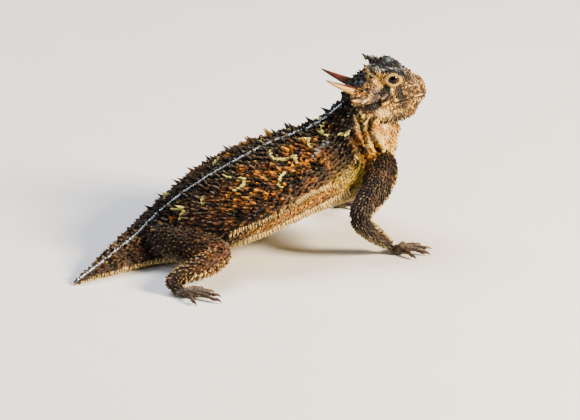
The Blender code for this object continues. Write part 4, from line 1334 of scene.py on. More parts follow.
@dataclass(frozen=True)
class ScaleForm:
    """One kind of scale as a unit solid: half its outline, its rings and its crest."""

    outline: tuple
    # share of the outline, height, shift towards the tip
    rings: tuple
    # crest points from rear to tip: x and height
    crest: tuple
    # whether the facets beside the crest meet in sharp edges
    sharp: bool = False

    def template(self) -> tuple[Array, list[list[int]], list[bool], Array]:
        """Build the unit solid, one long, one wide and one high.

        Returns:
            Its points, faces, whether each face is smooth, and how high each point stands.
        """
        half = list(self.outline)
        ring = half + [(x, -y) for x, y in half[-2:0:-1]]
        ring = np.array(ring[::-1])
        sides = len(ring)
        points, faces, smooth = [], [list(range(sides - 1, -1, -1))], [False]
        for share, height, shift in self.rings:
            points += [(x * share + shift, y * share, height) for x, y in ring]
        for level in range(len(self.rings) - 1):
            for index in range(sides):
                following = (index + 1) % sides
                low, high = level * sides, (level + 1) * sides
                faces.append([low + index, low + following, high + following, high + index])
                smooth.append(level > 0)
        rim = (len(self.rings) - 1) * sides
        crest = [rim + sides + number for number in range(len(self.crest))]
        points += [(x, 0.0, height) for x, height in self.crest]
        xs = np.array([x for x, _ in self.crest])
        nearest = [int(np.argmin(np.abs(xs - points[rim + index][0]))) for index in range(sides)]
        for index in range(sides):
            following = (index + 1) % sides
            one, two = crest[nearest[index]], crest[nearest[following]]
            face = [rim + index, rim + following, two]
            faces.append(face if one == two else face + [one])
            smooth.append(not self.sharp)
        array = np.array(points)
        return array, faces, smooth, np.clip(array[:, 2], 0.0, 1.0)


class Form(Enum):
    """The kinds of scale that the lizard wears."""

    KEELED = ScaleForm(
        ((-0.5, 0.0), (-0.3, 0.36), (0.04, 0.5), (0.34, 0.26), (0.6, 0.0)),
        ((1.0, -0.7, 0.0), (0.95, 0.16, 0.0)),
        ((-0.28, 0.55), (0.56, 1.0)),
        True,
    )
    GRAIN = ScaleForm(
        ((-0.5, 0.0), (-0.25, 0.44), (0.25, 0.44), (0.5, 0.0)),
        ((1.0, -0.7, 0.0), (0.86, 0.45, 0.0)),
        ((0.04, 1.0),),
    )
    TUBERCLE = ScaleForm(
        ((-0.5, 0.0), (-0.28, 0.43), (0.22, 0.46), (0.5, 0.0)),
        ((1.0, -0.7, 0.0), (0.9, 0.36, 0.0)),
        ((-0.16, 0.85), (0.2, 1.0)),
        True,
    )
    PLATE = ScaleForm(
        ((-0.5, 0.0), (-0.36, 0.42), (0.3, 0.46), (0.5, 0.0)),
        ((1.0, -0.7, 0.0), (0.95, 0.35, 0.0), (0.62, 0.85, 0.02)),
        ((-0.16, 0.8), (0.2, 1.0)),
    )
    SPINE = ScaleForm(
        ((-0.5, 0.0), (-0.35, 0.35), (0.0, 0.5), (0.35, 0.35), (0.5, 0.0)),
        ((1.0, -0.35, 0.0), (0.86, 0.1, 0.0), (0.5, 0.42, 0.06), (0.22, 0.76, 0.2)),
        ((0.34, 1.0),),
    )


@dataclass
class Roots:
    """Where scales of one form grow, with their sizes in millimetres."""

    form: Form
    points: Array
    normals: Array
    lies: Array
    # length, width, height of each scale
    sizes: Array
    # rise of the tip over the surface in degrees
    tilts: Array
    # multiplies the pattern's colour
    tones: Array
    tints: Array | None = None
    # painted highlight: how pale the raised tips are, from 0 to 1
    glints: Array | float = 0.12

    def __len__(self) -> int:
        """How many scales there are."""
        return len(self.points)


@dataclass
class Coat:
    """Builds one piece of the coat from roots."""

    plan: BodyPlan
    chart: Chart
    markings: Markings
    finish: bpy.types.Material
    patch: float = 0.003

    def solid(self, roots: Roots) -> dict[str, Array]:
        """Place the unit solid at every root.

        Args:
            roots: the scales of one form.

        Returns:
            points, corners, starts, smooth, colours and unwrap coordinates.
        """
        shape, faces, smooth, rise = roots.form.value.template()
        normal = unit(roots.normals)
        lie = unit(roots.lies - normal * np.sum(roots.lies * normal, axis=1, keepdims=True))
        wide = np.cross(normal, lie)
        tilt = np.radians(roots.tilts)[:, None]
        ahead = np.cos(tilt) * lie + np.sin(tilt) * normal
        up = np.cos(tilt) * normal - np.sin(tilt) * lie
        scaled = shape[None] * roots.sizes[:, None, :]
        points = (
            roots.points[:, None]
            + scaled[..., 0:1] * ahead[:, None]
            + scaled[..., 1:2] * wide[:, None]
            + scaled[..., 2:3] * up[:, None]
        )
        points[..., 2] = np.maximum(points[..., 2], 0.0)
        at = self.chart.read(roots.points)
        base = self.markings.paint(roots.points, roots.normals, at) if roots.tints is None else roots.tints
        base = base * roots.tones[:, None]
        # Painted shade and highlight: each scale is drawn darker at its root and lighter towards its crest,
        # and its raised tip is blended towards cream by its glint.
        shade = 0.38 + 0.78 * rise[None, :, None]
        colours = base[:, None] * shade
        tip = (ramp(shape[:, 0], 0.1, 0.55) * rise)[None, :, None]
        share = tip * (np.zeros(len(roots)) + roots.glints)[:, None, None]
        colours = colours + (self.markings.palette["cream"] * 0.9 - colours) * share
        count, size = len(roots), len(shape)
        flat = np.array([corner for face in faces for corner in face])
        corners = (flat[None] + (np.arange(count) * size)[:, None]).ravel()
        lengths = np.array([len(face) for face in faces])
        starts = np.concatenate(([0], np.cumsum(lengths)[:-1]))
        starts = (starts[None] + (np.arange(count) * lengths.sum())[:, None]).ravel()
        centre = np.stack((at["u"], at["v"]), 1)
        spread = centre[:, None] + shape[None, :, :2] * self.patch
        return {
            "points": points.reshape(-1, 3), "corners": corners, "starts": starts,
            "smooth": np.tile(smooth, count), "colours": colours.reshape(-1, 3),
            "unwrap": spread.reshape(-1, 2)[corners],
        }

    def build(self, name: str, slot: str, batches: list[Roots]) -> bpy.types.Object:
        """Join batches of scales into one piece.

        Args:
            name: the piece's name.
            slot: the record's material slot.
            batches: roots of one or more forms.

        Returns:
            The finished piece.
        """
        solids = [self.solid(roots) for roots in batches if len(roots)]
        counts = np.cumsum([0] + [len(solid["points"]) for solid in solids])
        loops = np.cumsum([0] + [len(solid["corners"]) for solid in solids])
        keys = ("points", "smooth", "colours", "unwrap")
        joined = {key: np.concatenate([solid[key] for solid in solids]) for key in keys}
        corners = np.concatenate([solid["corners"] + counts[i] for i, solid in enumerate(solids)])
        starts = np.concatenate([solid["starts"] + loops[i] for i, solid in enumerate(solids)])
        piece = mesh_piece(name, self.plan.place(joined["points"]), corners, starts, joined["smooth"])
        paint_mesh(piece, joined["colours"])
        layer = piece.data.uv_layers.new(name="OFBake")
        layer.uv.foreach_set("vector", joined["unwrap"].astype(np.float32).ravel())
        settle(piece, self.finish, slot)
        return piece


@dataclass
class Squama:
    """Lays out every scale: rows of special ones first, then a close even cover."""

    plan: BodyPlan
    chart: Chart
    skin: Skin
    markings: Markings
    seed: int = 23
    candidates: int = 520000
    # rows of spines on the back: share of the half width, height, root radius, first, last, spacing
    back_rows: tuple = (
        (0.20, 2.5, 0.95, 6.6, 16.2, 5.2),
        (0.43, 2.3, 0.90, 6.2, 15.0, 5.6),
        (0.65, 2.1, 0.85, 6.8, 13.2, 5.8),
        (0.84, 1.7, 0.75, 7.4, 12.4, 5.8),
    )
    # fringes: line of station and degrees from the midline, length, width, pitch, lean towards the tail
    fringe_rows: tuple = (
        (((7.7, 82.0), (9.2, 85.0), (10.9, 86.0), (11.8, 91.0), (12.5, 97.0)), 2.0, 0.75, 0.62, 0.35),
        (((12.5, 97.0), (13.0, 92.0), (13.8, 81.0), (14.3, 77.0)), 1.7, 0.75, 0.6, 0.2),
        (((7.9, 107.0), (9.0, 110.0), (10.5, 112.0), (12.0, 113.0), (12.9, 111.0)), 2.5, 1.0, 0.85, 0.5),
        (((0.9, 93.0), (5.3, 95.0)), 1.7, 0.8, 0.8, 1.1),
    )
    # spikes of the head: forward, out, height of the root, height, radius
    brow_spikes: tuple = (
        (-5.9, 5.8, 49.6, 1.7, 0.6),
        (-4.3, 5.8, 49.2, 1.0, 0.5),
        (-6.3, 5.2, 48.2, 1.2, 0.5),
        (-7.4, 3.2, 46.6, 1.3, 0.55),
        (-8.6, 1.6, 45.6, 1.4, 0.55),
        (-9.2, 3.4, 45.3, 1.2, 0.5),
        (-7.9, 0.2, 46.3, 1.1, 0.5),
        (-9.9, 0.6, 44.9, 1.3, 0.5),
        (-8.0, 5.0, 45.6, 1.1, 0.5),
        (-10.2, 2.2, 44.3, 1.1, 0.5),
        (-6.5, 1.6, 47.4, 0.9, 0.45),
        (-8.6, 6.6, 44.2, 1.0, 0.5),
        (-7.0, 7.2, 44.8, 0.9, 0.5),
    )
    jaw_corner: tuple = (-2.5, 8.8, 40.5)
    stripe_pitch: float = 0.66
    rim_pitch: float = 0.52
    # how far the pale rows stand off the skin, so that dark scales don't bury them
    stripe_lift: float = 0.14
    # ground that stays bare: over the floor, round the lids, in the creases and in the mouth's line
    floor_margin: float = 0.25
    lid_margin: float = 1.42
    crease_margin: float = 0.5
    mouth_margin: float = 0.16
    # share of the scales that are enlarged, and how much: on the back, anywhere, on the legs
    large_dorsal: tuple = (0.018, 1.8)
    large: tuple = (0.055, 1.35)
    large_leg: tuple = (0.08, 1.7)
    groups: dict[str, list[Roots]] = field(default_factory=dict)
    taken: list[tuple[Array, float]] = field(default_factory=list)

    def __post_init__(self) -> None:
        """Start the one source of chance and index the skin's points."""
        self.chance = np.random.default_rng(self.seed)
        self.surface = KDTree(len(self.skin.points))
        for index, point in enumerate(self.skin.points):
            self.surface.insert(point, index)
        self.surface.balance()

    def on_skin(self, points: Array) -> tuple[Array, Array]:
        """The nearest skin points and their outward directions."""
        index = np.array([self.surface.find(point)[1] for point in points])
        return self.skin.points[index], self.skin.normals[index]

    def vary(self, size: tuple, count: int, low: float, high: float) -> Array:
        """Sizes of like scales, each scaled by its own chance between low and high."""
        return np.array(size) * self.chance.uniform(low, high, (count, 1))

    def keep(self, group: str, form: Form, points: Array, normals: Array, lies: Array, sizes: Array,
             tilts: Array | float, tones: Array | float, claim: float,
             tints: Array | None = None, glints: float = 0.12) -> None:
        """Store special scales and claim the ground round them; one value may stand for all.

        Args:
            group: the coat piece they join.
            form: the kind of scale.
            points: roots in the working frame.
            normals: outward directions.
            lies: where the tips point.
            sizes: length, width and height of each.
            tilts: rise of the tips in degrees.
            tones: brightness of each.
            claim: radius round each root that stays free of other scales.
            tints: colours of their own, or None for the pattern's.
            glints: how pale the tips are, as painted highlight.
        """
        count = len(points)
        rows = [np.broadcast_to(value, (count, 3)) for value in (lies, sizes)]
        each = [np.broadcast_to(value, count) for value in (tilts, tones)]
        if tints is not None:
            tints = np.broadcast_to(tints, (count, 3))
        self.groups.setdefault(group, []).append(
            Roots(form, points, normals, *rows, *each, tints, glints)
        )
        self.taken += [(point, claim) for point in points]

    def stations_every(self, first: float, last: float, pitch: float, angle: float) -> Array:
        """Stations whose surface points lie a set distance apart.

        Args:
            first: the first station.
            last: the last station.
            pitch: the distance in millimetres.
            angle: degrees round the section.

        Returns:
            The stations.
        """
        fine = np.arange(first, last, 0.01)
        points = self.plan.spine_points(fine, np.full(len(fine), angle))
        travelled = np.concatenate(([0.0], np.cumsum(np.linalg.norm(np.diff(points, axis=0), axis=1))))
        return np.interp(np.arange(0.0, travelled[-1], pitch), travelled, fine)

    def spine_lie(self, stations: Array, angle: Array) -> Array:
        """Towards the tail along the surface."""
        ahead = self.plan.spine_points(stations + 0.05, angle)
        return unit(self.plan.spine_points(stations - 0.05, angle) - ahead)

    def back_spines(self) -> None:
        """Large conical spines in rows, each in a rosette of small pointed scales."""
        for share, height, radius, first, last, pitch in self.back_rows:
            angle = math.degrees(math.asin(share))
            stations = self.stations_every(first, last, pitch, angle)
            for side in Side:
                turn = np.full(len(stations), side.turn(angle))
                points, normals = self.on_skin(self.plan.spine_points(stations, turn))
                lies = self.spine_lie(stations, turn)
                count = len(points)
                tall = height * self.chance.uniform(1.0, 1.3, count) + self.skin.coat_depth
                sizes = np.stack((np.full(count, radius * 2.0), np.full(count, radius * 1.7), tall), 1)
                tints = self.markings.palette["black"] * 1.3 if share < 0.3 else None
                self.keep("scales_spines", Form.SPINE, points, normals, lies, sizes, -12.0, 0.8,
                          radius, tints, 0.1)
                self.rosette(points, normals, lies, radius)
                self.small_spines(points, normals, lies, radius)

    def small_spines(self, points: Array, normals: Array, lies: Array, radius: float) -> None:
        """Lesser spines beside each large one, so that they stand in clusters.

        Args:
            points: the large spines' roots.
            normals: outward directions.
            lies: directions towards the tail.
            radius: the large spines' radius.
        """
        wide = np.cross(normals, lies)
        for ahead, beside, tall in ((-1.9, 0.5, 1.7), (-0.6, -1.7, 1.4), (1.7, 0.9, 1.5), (0.9, -1.9, 1.1)):
            spots, up = self.on_skin(points - lies * ahead * radius + wide * beside * radius)
            count = len(spots)
            sizes = np.stack((np.full(count, 0.95), np.full(count, 0.8),
                              tall * self.chance.uniform(0.8, 1.2, count)), 1)
            self.keep("scales_spines", Form.SPINE, spots, up, lies, sizes, -16.0, 0.85, 0.42)

    def rosette(self, points: Array, normals: Array, lies: Array, radius: float) -> None:
        """A ring of pointed scales leaning out from the root of each large spine.

        Args:
            points: the large spines' roots.
            normals: outward directions.
            lies: directions towards the tail.
            radius: the large spines' radius.
        """
        wide = np.cross(normals, lies)
        for turn in np.arange(0.0, 360.0, 45.0):
            out = lies * math.cos(math.radians(turn)) + wide * math.sin(math.radians(turn))
            spots, up = self.on_skin(points + out * radius * 1.2)
            count = len(spots)
            sizes = self.vary((1.05, 0.6, 0.42), count, 0.85, 1.15)
            self.keep("scales_spines", Form.KEELED, spots, up, out + lies * 0.4, sizes, 26.0,
                      self.chance.uniform(0.75, 1.15, count), 0.32)

    def fringes(self) -> None:
        """Combs of long pale scales along the flanks and the tail, pointing down and back."""
        palette = self.markings.palette
        for line, length, width, pitch, lean in self.fringe_rows:
            for side in Side:
                stations, turn = self.plan.trace(line, side, pitch)
                points, normals = self.on_skin(self.plan.spine_points(stations, turn))
                below = self.plan.spine_points(stations, turn - 3.0 * side.value)
                down = unit(below - self.plan.spine_points(stations, turn))
                lies = down + self.spine_lie(stations, turn) * lean
                count = len(points)
                fade = np.clip(0.5 + (stations - 1.5) * 0.25, 0.5, 1.0)
                sizes = np.stack((length * fade, width * fade, 0.5 * fade), 1)
                sizes *= self.chance.uniform(0.82, 1.12, (count, 1))
                tints = mix(palette["cream"], palette["pink"], self.chance.uniform(0.0, 0.8, count))
                self.keep("scales_spines", Form.KEELED, points, normals, lies, sizes,
                          self.chance.uniform(26.0, 42.0, count), 0.95, width * 0.5, tints, 0.5)

    def rims(self) -> None:
        """Lines of pale scales round the rear of the dark blotches."""
        for line in self.markings.rims:
            for side in Side:
                stations, turn = self.plan.trace(line, side, self.rim_pitch)
                points, normals = self.on_skin(self.plan.spine_points(stations, turn))
                count = len(points)
                sizes = self.vary((1.05, 0.7, 0.55), count, 0.85, 1.15)
                points += normals * self.stripe_lift
                self.keep("scales_back", Form.KEELED, points, normals, self.spine_lie(stations, turn), sizes,
                          10.0, self.chance.uniform(0.9, 1.15, count), 0.56, self.markings.palette["rim"])

    def stripe(self) -> None:
        """The thin pale line of beads along the middle of the back."""
        stations = self.stations_every(0.7, 16.7, self.stripe_pitch, 0.0)
        flat = np.zeros(len(stations))
        points, normals = self.on_skin(self.plan.spine_points(stations, flat))
        points[:, 1] = self.plan.spine_points(stations, flat)[:, 1]
        count = len(points)
        points[:, 2] += self.stripe_lift
        sizes = self.vary((0.92, 0.5, 0.5), count, 0.88, 1.1)
        sizes *= (0.74 + 0.26 * ramp(stations, 2.0, 6.0))[:, None]
        self.keep("scales_back", Form.GRAIN, points, normals, self.spine_lie(stations, flat), sizes, 5.0,
                  self.chance.uniform(0.95, 1.2, count), 0.55, self.markings.palette["stripe"])

    def lips(self) -> None:
        """Two rows of small upright plates along the closed mouth."""
        turns = np.radians(np.linspace(-self.plan.mouth_spread + 6.0, self.plan.mouth_spread - 6.0, 52))
        share = np.abs(turns) / math.radians(self.plan.mouth_spread)
        line = self.plan.mouth_height - self.plan.mouth_drop * share**3
        pivot, reach = self.plan.mouth_pivot, 9.0
        for lift in (0.52, -0.55):
            out = self.plan.head_point(pivot + np.cos(turns) * reach, np.sin(turns) * reach, line + lift)
            axis = self.plan.head_point(pivot + 0.0 * turns, 0.0 * turns, line + lift)
            points = self.slide_to_height(axis, out, line + lift)
            _, normals = self.on_skin(points)
            lies = np.cross(normals, (0.0, 0.0, 1.0)) * -np.sign(turns)[:, None]
            count = len(points)
            sizes = self.vary((0.86, 0.68, 0.26), count, 0.9, 1.1)
            self.keep("scales_head", Form.PLATE, points, normals, lies, sizes, 2.0,
                      self.chance.uniform(0.7, 1.05, count), 0.4)

    def slide_to_height(self, inside: Array, outside: Array, heights: Array) -> Array:
        """Skin points on level lines from the head's middle outwards.

        Args:
            inside: where each line starts.
            outside: where it ends.
            heights: the height of each line.

        Returns:
            The last skin crossing on each line.
        """
        found = []
        for start, end, height in zip(inside, outside, heights):
            steps = start + (end - start) * np.linspace(0.0, 1.15, 70)[:, None]
            near = [self.surface.find(step) for step in steps]
            best = min(near, key=lambda hit: hit[2] + abs(hit[0][2] - height) * 2.0)
            found.append(self.skin.points[best[1]])
        return np.array(found)

    def lids(self) -> None:
        """Rings of tiny beads round each eye's opening."""
        skin, palette = self.skin, self.markings.palette
        ball = self.plan.eye_radius
        for side in Side:
            centre, out, ahead, up = skin.eye_axes(side)
            rings = ((1.1, 0.27, 38, 0.26), (1.32, 0.34, 34, 0.32), (1.56, 0.4, 34, 0.34))
            for measure, size, count, lift in rings:
                turn = np.linspace(0.0, 2.0 * math.pi, count, endpoint=False)
                wide = np.radians(skin.lid_opening[0] * measure * np.cos(turn))
                tall = np.radians(skin.lid_opening[1] * measure * np.sin(turn))
                way = unit(out[None] + np.tan(wide)[:, None] * ahead + np.tan(tall)[:, None] * up)
                points = centre + way * (ball + lift)
                lies = np.roll(points, -1, axis=0) - points
                tone = self.chance.uniform(0.85, 1.1, count)
                yellow = self.chance.uniform(0.0, 0.5, count) + measure - 1.1
                tints = mix(palette["cream"] * 0.85, palette["tan"], yellow)
                self.keep("scales_head", Form.GRAIN, points, way, lies, (size * 1.15, size * 0.8, 0.2), 0.0,
                          tone, 0.26, tints)

    def head_rows(self) -> None:
        """Enlarged plates on the brows, spikes over the temples and pointed shields on the jaw."""
        palette = self.markings.palette
        for side in Side:
            brow = path_rings(self.plan.head_ridge(self.plan.brow, side), 12, 3).mean(axis=1)[:-3]
            points, normals = self.on_skin(brow + (0.0, 0.0, 1.2))
            count = len(points)
            back = self.plan.head_vector(-1.0, 0.12 * side.value, 0.25)
            sizes = np.array((1.15, 0.9, 0.5)) * np.linspace(0.8, 1.25, count)[:, None]
            pale = np.round(self.chance.uniform(0.0, 0.95, count)) * 0.9
            tints = mix(palette["black"], palette["lichen"], pale)
            self.keep("scales_head", Form.KEELED, points, normals, back, sizes, 18.0, 1.0, 0.5, tints)
            self.spikes(side)
            self.cheek_plate(side)
            self.jaw_row(side)
            self.temple_row(side)

    def spikes(self, side: Side) -> None:
        """The sharp spine at the rear of each brow, and the rough spikes of the occiput.

        Args:
            side: the side of the body.
        """
        rows = np.array(self.brow_spikes)
        roots = self.plan.head_point(rows[:, 0], rows[:, 1] * side.value, rows[:, 2])
        points, _ = self.on_skin(roots)
        up = np.tile(self.plan.head_vector(-0.75, 0.12 * side.value, 1.0), (len(points), 1))
        back = self.plan.head_vector(-1.0, 0.0, 0.0)
        sizes = np.stack((rows[:, 4] * 2.1, rows[:, 4] * 1.7, rows[:, 3]), 1)
        self.keep("scales_head", Form.SPINE, points, up, back, sizes, 0.0, 1.0, 0.4,
                  self.markings.palette["dark"] * 0.8, 0.25)

    def jaw_row(self, side: Side) -> None:
        """Pointed shields along the lower edge of the jaw, larger towards the ear.

        Args:
            side: the side of the body.
        """
        jaw = path_rings(self.plan.head_ridge(self.plan.jaw, side), 12, 4)
        centres = jaw.mean(axis=1)
        out = self.plan.head_vector(0.0, side.value, -0.6)
        points, normals = self.on_skin(centres + out * 1.8)
        count = len(points)
        grow = np.linspace(0.8, 1.5, count)[:, None]
        lie = self.plan.head_vector(-0.7, 0.55 * side.value, -0.45)
        self.keep("scales_head", Form.KEELED, points, normals, lie, np.array((1.15, 0.85, 0.5)) * grow,
                  26.0, self.chance.uniform(0.95, 1.2, count), 0.5)

    def cheek_plate(self, side: Side) -> None:
        """The one enlarged pale plate at the corner of the jaw.

        Args:
            side: the side of the body.
        """
        forward, out, height = self.jaw_corner
        points, normals = self.on_skin(self.plan.head_point(np.array([forward]), out * side.value, height))
        self.keep("scales_head", Form.PLATE, points, normals, self.plan.head_vector(-1.0, 0.0, -0.3),
                  (1.7, 1.15, 0.5), 6.0, 0.95, 0.7, self.markings.palette["tan"] * 1.1)

    def temple_row(self, side: Side) -> None:
        """Keeled plates along the temple's shelf, between the small horns and the eye.

        Args:
            side: the side of the body.
        """
        shelf = path_rings(self.plan.head_ridge(self.plan.shelf, side), 12, 3)
        centres = shelf.mean(axis=1)
        local = self.plan.to_head(centres)
        out = unit(np.stack((local[:, 0] * 0.0 - 0.3, local[:, 1], local[:, 0] * 0.0), 1))
        turned = np.array([self.plan.head_vector(*row) for row in out])
        points, normals = self.on_skin(centres + turned * 1.6)
        count = len(points)
        sizes = self.vary((1.35, 0.95, 0.6), count, 0.85, 1.2)
        lies = turned + self.plan.head_vector(-1.0, 0.0, 0.0)
        self.keep("scales_head", Form.KEELED, points, normals, lies, sizes, 24.0,
                  self.chance.uniform(0.9, 1.3, count), 0.5)

    def digit_scutes(self) -> None:
        """Bands of scutes over every finger and toe."""
        for limb in self.plan.limbs():
            for spread, length in limb["digits"]:
                path = self.plan.digit_path(limb, spread, length)
                rings = path_rings(path, 12, max(4, int(length / 2 / 0.55)))
                centres = rings.mean(axis=1)[1:]
                points, normals = self.on_skin(centres + (0.0, 0.0, 0.9))
                self.keep(f"scales_limbs_{limb['side'].label}", Form.KEELED, points, normals,
                          self.plan.digit_out(limb, spread), (0.86, 1.15, 0.34), 12.0,
                          self.chance.uniform(0.8, 1.2, len(points)), 0.3)

    def limb_edges(self) -> None:
        """Enlarged pale pointed scales along the leading edges of the limbs."""
        palette = self.markings.palette
        for limb in self.plan.limbs():
            rings = path_rings(limb["path"], 16, 9)[10:-4]
            centres = rings.mean(axis=1)
            along = unit(np.gradient(centres, axis=0))
            forward = np.array((0.94, limb["side"].value * 0.3, 0.0))
            for tilt in (0.15, -0.25):
                way = unit(forward + np.array((0.0, 0.0, tilt)))
                way = unit(way - along * np.sum(way * along, axis=1, keepdims=True))
                stray = self.chance.normal(0.0, 0.25, centres.shape)
                here = self.chance.random(len(centres)) < 0.75
                points, normals = self.on_skin((centres + way * 4.0 + stray)[here])
                count = len(points)
                sizes = self.vary((1.3, 0.78, 0.5), count, 0.75, 1.2)
                deep = np.round(self.chance.uniform(0.0, 1.0, count)) * 0.9
                tints = mix(palette["cream"] * 0.85, palette["dark"], deep)
                self.keep(f"scales_limbs_{limb['side'].label}", Form.KEELED, points, normals, along[here],
                          sizes, self.chance.uniform(20.0, 38.0, count),
                          self.chance.uniform(0.6, 1.0, count), 0.42, tints, 0.7)

    def pitch(self, points: Array, at: dict[str, Array]) -> Array:
        """The even spacing of scales at each place.

        Args:
            points: rows in the working frame.
            at: the chart's reading.

        Returns:
            Millimetres between neighbours.
        """
        local = self.plan.to_head(points)
        out = np.abs(local[:, 1])
        eye = np.sqrt((local[:, 0]) ** 2 + (out - 7.4) ** 2 + (local[:, 2] - 47.3) ** 2)
        head = 0.44 + 0.12 * ramp(local[:, 2], 46.0, 48.0) - 0.1 * (1.0 - ramp(eye, 2.4, 4.2))
        spine = 0.53 + 0.1 * ramp(at["away"], 90.0, 110.0) - 0.06 * (1.0 - ramp(at["along"], 1.0, 5.0))
        spine = spine - 0.12 * ramp(at["along"], 14.6, 16.0) * ramp(at["away"], 30.0, 60.0)
        limb = 0.6 - 0.12 * at["along"]
        part = at["part"]
        found = np.where(part == Part.HEAD.value, head, spine)
        found = np.where(part >= Part.ARM.value, limb, found)
        return np.where(part == Part.DIGIT.value, 0.42, found)

    def cover(self) -> None:
        """Fill the rest of the skin with close scales of mixed sizes."""
        points, normals = self.skin.points, self.skin.normals
        tri = self.skin.triangles
        corners = points[tri]
        area = np.linalg.norm(np.cross(corners[:, 1] - corners[:, 0], corners[:, 2] - corners[:, 0]), axis=1)
        at = self.chart.read(corners.mean(axis=1))
        weight = area / self.pitch(corners.mean(axis=1), at) ** 2
        pick = self.chance.choice(len(tri), self.candidates, p=weight / weight.sum())
        bary = self.chance.dirichlet((1.0, 1.0, 1.0), self.candidates)
        spots = np.einsum("nk,nkd->nd", bary, corners[pick])
        ways = unit(np.einsum("nk,nkd->nd", bary, normals[tri[pick]]))
        at = {name: value[pick] for name, value in at.items()}
        pitch = self.pitch(spots, at)
        dorsal = (at["part"] == Part.SPINE.value) & (at["away"] < 92.0)
        rank = self.chance.random(self.candidates)
        leg = at["part"] == Part.LEG.value
        grow = np.ones(self.candidates)
        for chosen, (share, size) in ((True, self.large), (dorsal, self.large_dorsal), (leg, self.large_leg)):
            grow = np.where(chosen & (rank < share), size, grow)
        grow = np.where(at["part"] == Part.DIGIT.value, 1.0, grow)
        keep = self.thin(spots, pitch * grow, rank)
        keep = keep[self.allowed(spots[keep], ways[keep])]
        self.sort_out(spots[keep], ways[keep], {n: v[keep] for n, v in at.items()},
                      (pitch * grow)[keep], grow[keep])

    def thin(self, spots: Array, reach: Array, rank: Array) -> Array:
        """Keep spots that are far enough from each other and from the special scales.

        Args:
            spots: candidate roots.
            reach: the free radius that each one needs.
            rank: the order in which they are tried.

        Returns:
            The numbers of the kept spots.
        """
        tree = KDTree(len(spots))
        for index, spot in enumerate(spots):
            tree.insert(spot, index)
        tree.balance()
        alive = np.ones(len(spots), bool)
        for point, claim in self.taken:
            for _, index, _ in tree.find_range(point, claim):
                alive[index] = False
        kept = []
        for index in np.argsort(rank):
            if alive[index]:
                kept.append(index)
                for _, other, _ in tree.find_range(spots[index], reach[index]):
                    alive[other] = False
        return np.array(kept)

    def allowed(self, spots: Array, ways: Array) -> Array:
        """Leave out the eye's opening, the mouth's groove, the deep creases and the floor.

        Args:
            spots: candidate roots.
            ways: outward directions.

        Returns:
            Whether each root may stay.
        """
        fine = spots[:, 2] > self.floor_margin
        for side in Side:
            centre, out, ahead, up = self.skin.eye_axes(side)
            offset = spots - centre
            z = offset @ out
            across = np.degrees(np.arctan2(offset @ ahead, z)) / self.skin.lid_opening[0]
            tall = np.degrees(np.arctan2(offset @ up, z)) / self.skin.lid_opening[1]
            near = (np.linalg.norm(offset, axis=1) < 4.0) & (z > 0.0)
            fine &= ~(near & (np.hypot(across, tall) < self.lid_margin))
        local = self.plan.to_head(spots)
        crease = distance_to(spots, self.plan.trace_points(self.markings.creases))
        fine &= crease > self.crease_margin
        in_head = (local[:, 0] > -9.0) & (local[:, 2] > 36.0)
        return fine & ~(in_head & (np.abs(self.plan.mouth_offset(local)) < self.mouth_margin))

    def sort_out(self, spots: Array, ways: Array, at: dict[str, Array], reach: Array, grow: Array) -> None:
        """Give each covering scale its form, size, lie and coat piece.

        Args:
            spots: the roots.
            ways: outward directions.
            at: the chart's reading.
            reach: spacing at each root.
            grow: how much larger than its neighbours each scale is.
        """
        count = len(spots)
        local = self.plan.to_head(spots)
        lies = at["lie"].copy()
        out = np.abs(local[:, 1])
        strip = (local[:, 2] > 48.3) & (out > 5.0) & (out < 7.9) & (local[:, 0] < 3.5)
        lies[strip] = unit(np.array((0.0, 0.0, -1.0)) + lies[strip] * 0.15)
        gular = (at["part"] == Part.HEAD.value) & (local[:, 2] < 37.0)
        lies[gular] += np.array((0.0, 0.0, -0.5))
        lies += self.chance.normal(0.0, 0.13, (count, 3))
        jitter = self.chance.uniform(0.86, 1.16, count)
        length, width, height = reach * 1.7 * jitter, reach * 1.12 * jitter, reach * 0.5 * jitter
        tilt = self.chance.uniform(5.0, 15.0, count)
        part, away = at["part"], at["away"]
        head = part == Part.HEAD.value
        dorsal = (part == Part.SPINE.value) & (away < 92.0)
        top = head & (ways[:, 2] > 0.45)
        belly = (part == Part.SPINE.value) & (away > 100.0)
        limb = part >= Part.ARM.value
        tilt = np.where(limb & (part != Part.DIGIT.value), tilt + 5.0, tilt)
        length = np.where(dorsal, reach * 2.1 * jitter, length)
        width = np.where(dorsal, reach * 0.96 * jitter, width)
        tilt = np.where(dorsal & (grow > 1.5), 30.0, tilt)
        height = np.where(dorsal & (grow > 1.2), height * 1.5, height)
        tilt = np.where(belly, 6.0, tilt)
        nape = (part == Part.SPINE.value) & (at["along"] > 15.0) & (away < 60.0)
        tilt = np.where(nape, tilt + 14.0, tilt)
        height = np.where(nape, height * 1.4, height)
        length = np.where(strip, reach * 2.4, length)
        width = np.where(strip, reach * 0.85, width)
        neck = (part == Part.SPINE.value) & (at["along"] > 15.0) & (away > 44.0)
        throat = gular | (neck & (away > 120.0))
        fold = neck & ~throat
        rise = throat & (grow > 1.2)
        tilt = np.where(rise, 32.0, tilt)
        rough = (head & ~strip & ~throat) | fold
        length = np.where(rough, reach * 1.32 * jitter, length)
        width = np.where(rough, reach * 1.24 * jitter, width)
        height = np.where(head | fold, reach * 0.36 * jitter, height)
        form = np.full(count, 0)
        form[rough] = 1
        form[top & ~strip] = 2
        tone = self.chance.uniform(0.65, 1.2, count)
        glint = self.chance.random(count) ** 5 * 0.35
        spiky = (part == Part.LEG.value) & (grow > 1.5)
        glint = np.where(spiky, self.chance.uniform(0.1, 0.6, count), glint)
        tilt = np.where(spiky, 32.0, tilt)
        length = np.where(spiky, reach * 1.9, length)
        width = np.where(spiky, reach * 0.8, width)
        sizes = np.stack((length, width, height), 1)
        right = at["side"] < 0.0
        back_group = (part == Part.SPINE.value) & ~belly
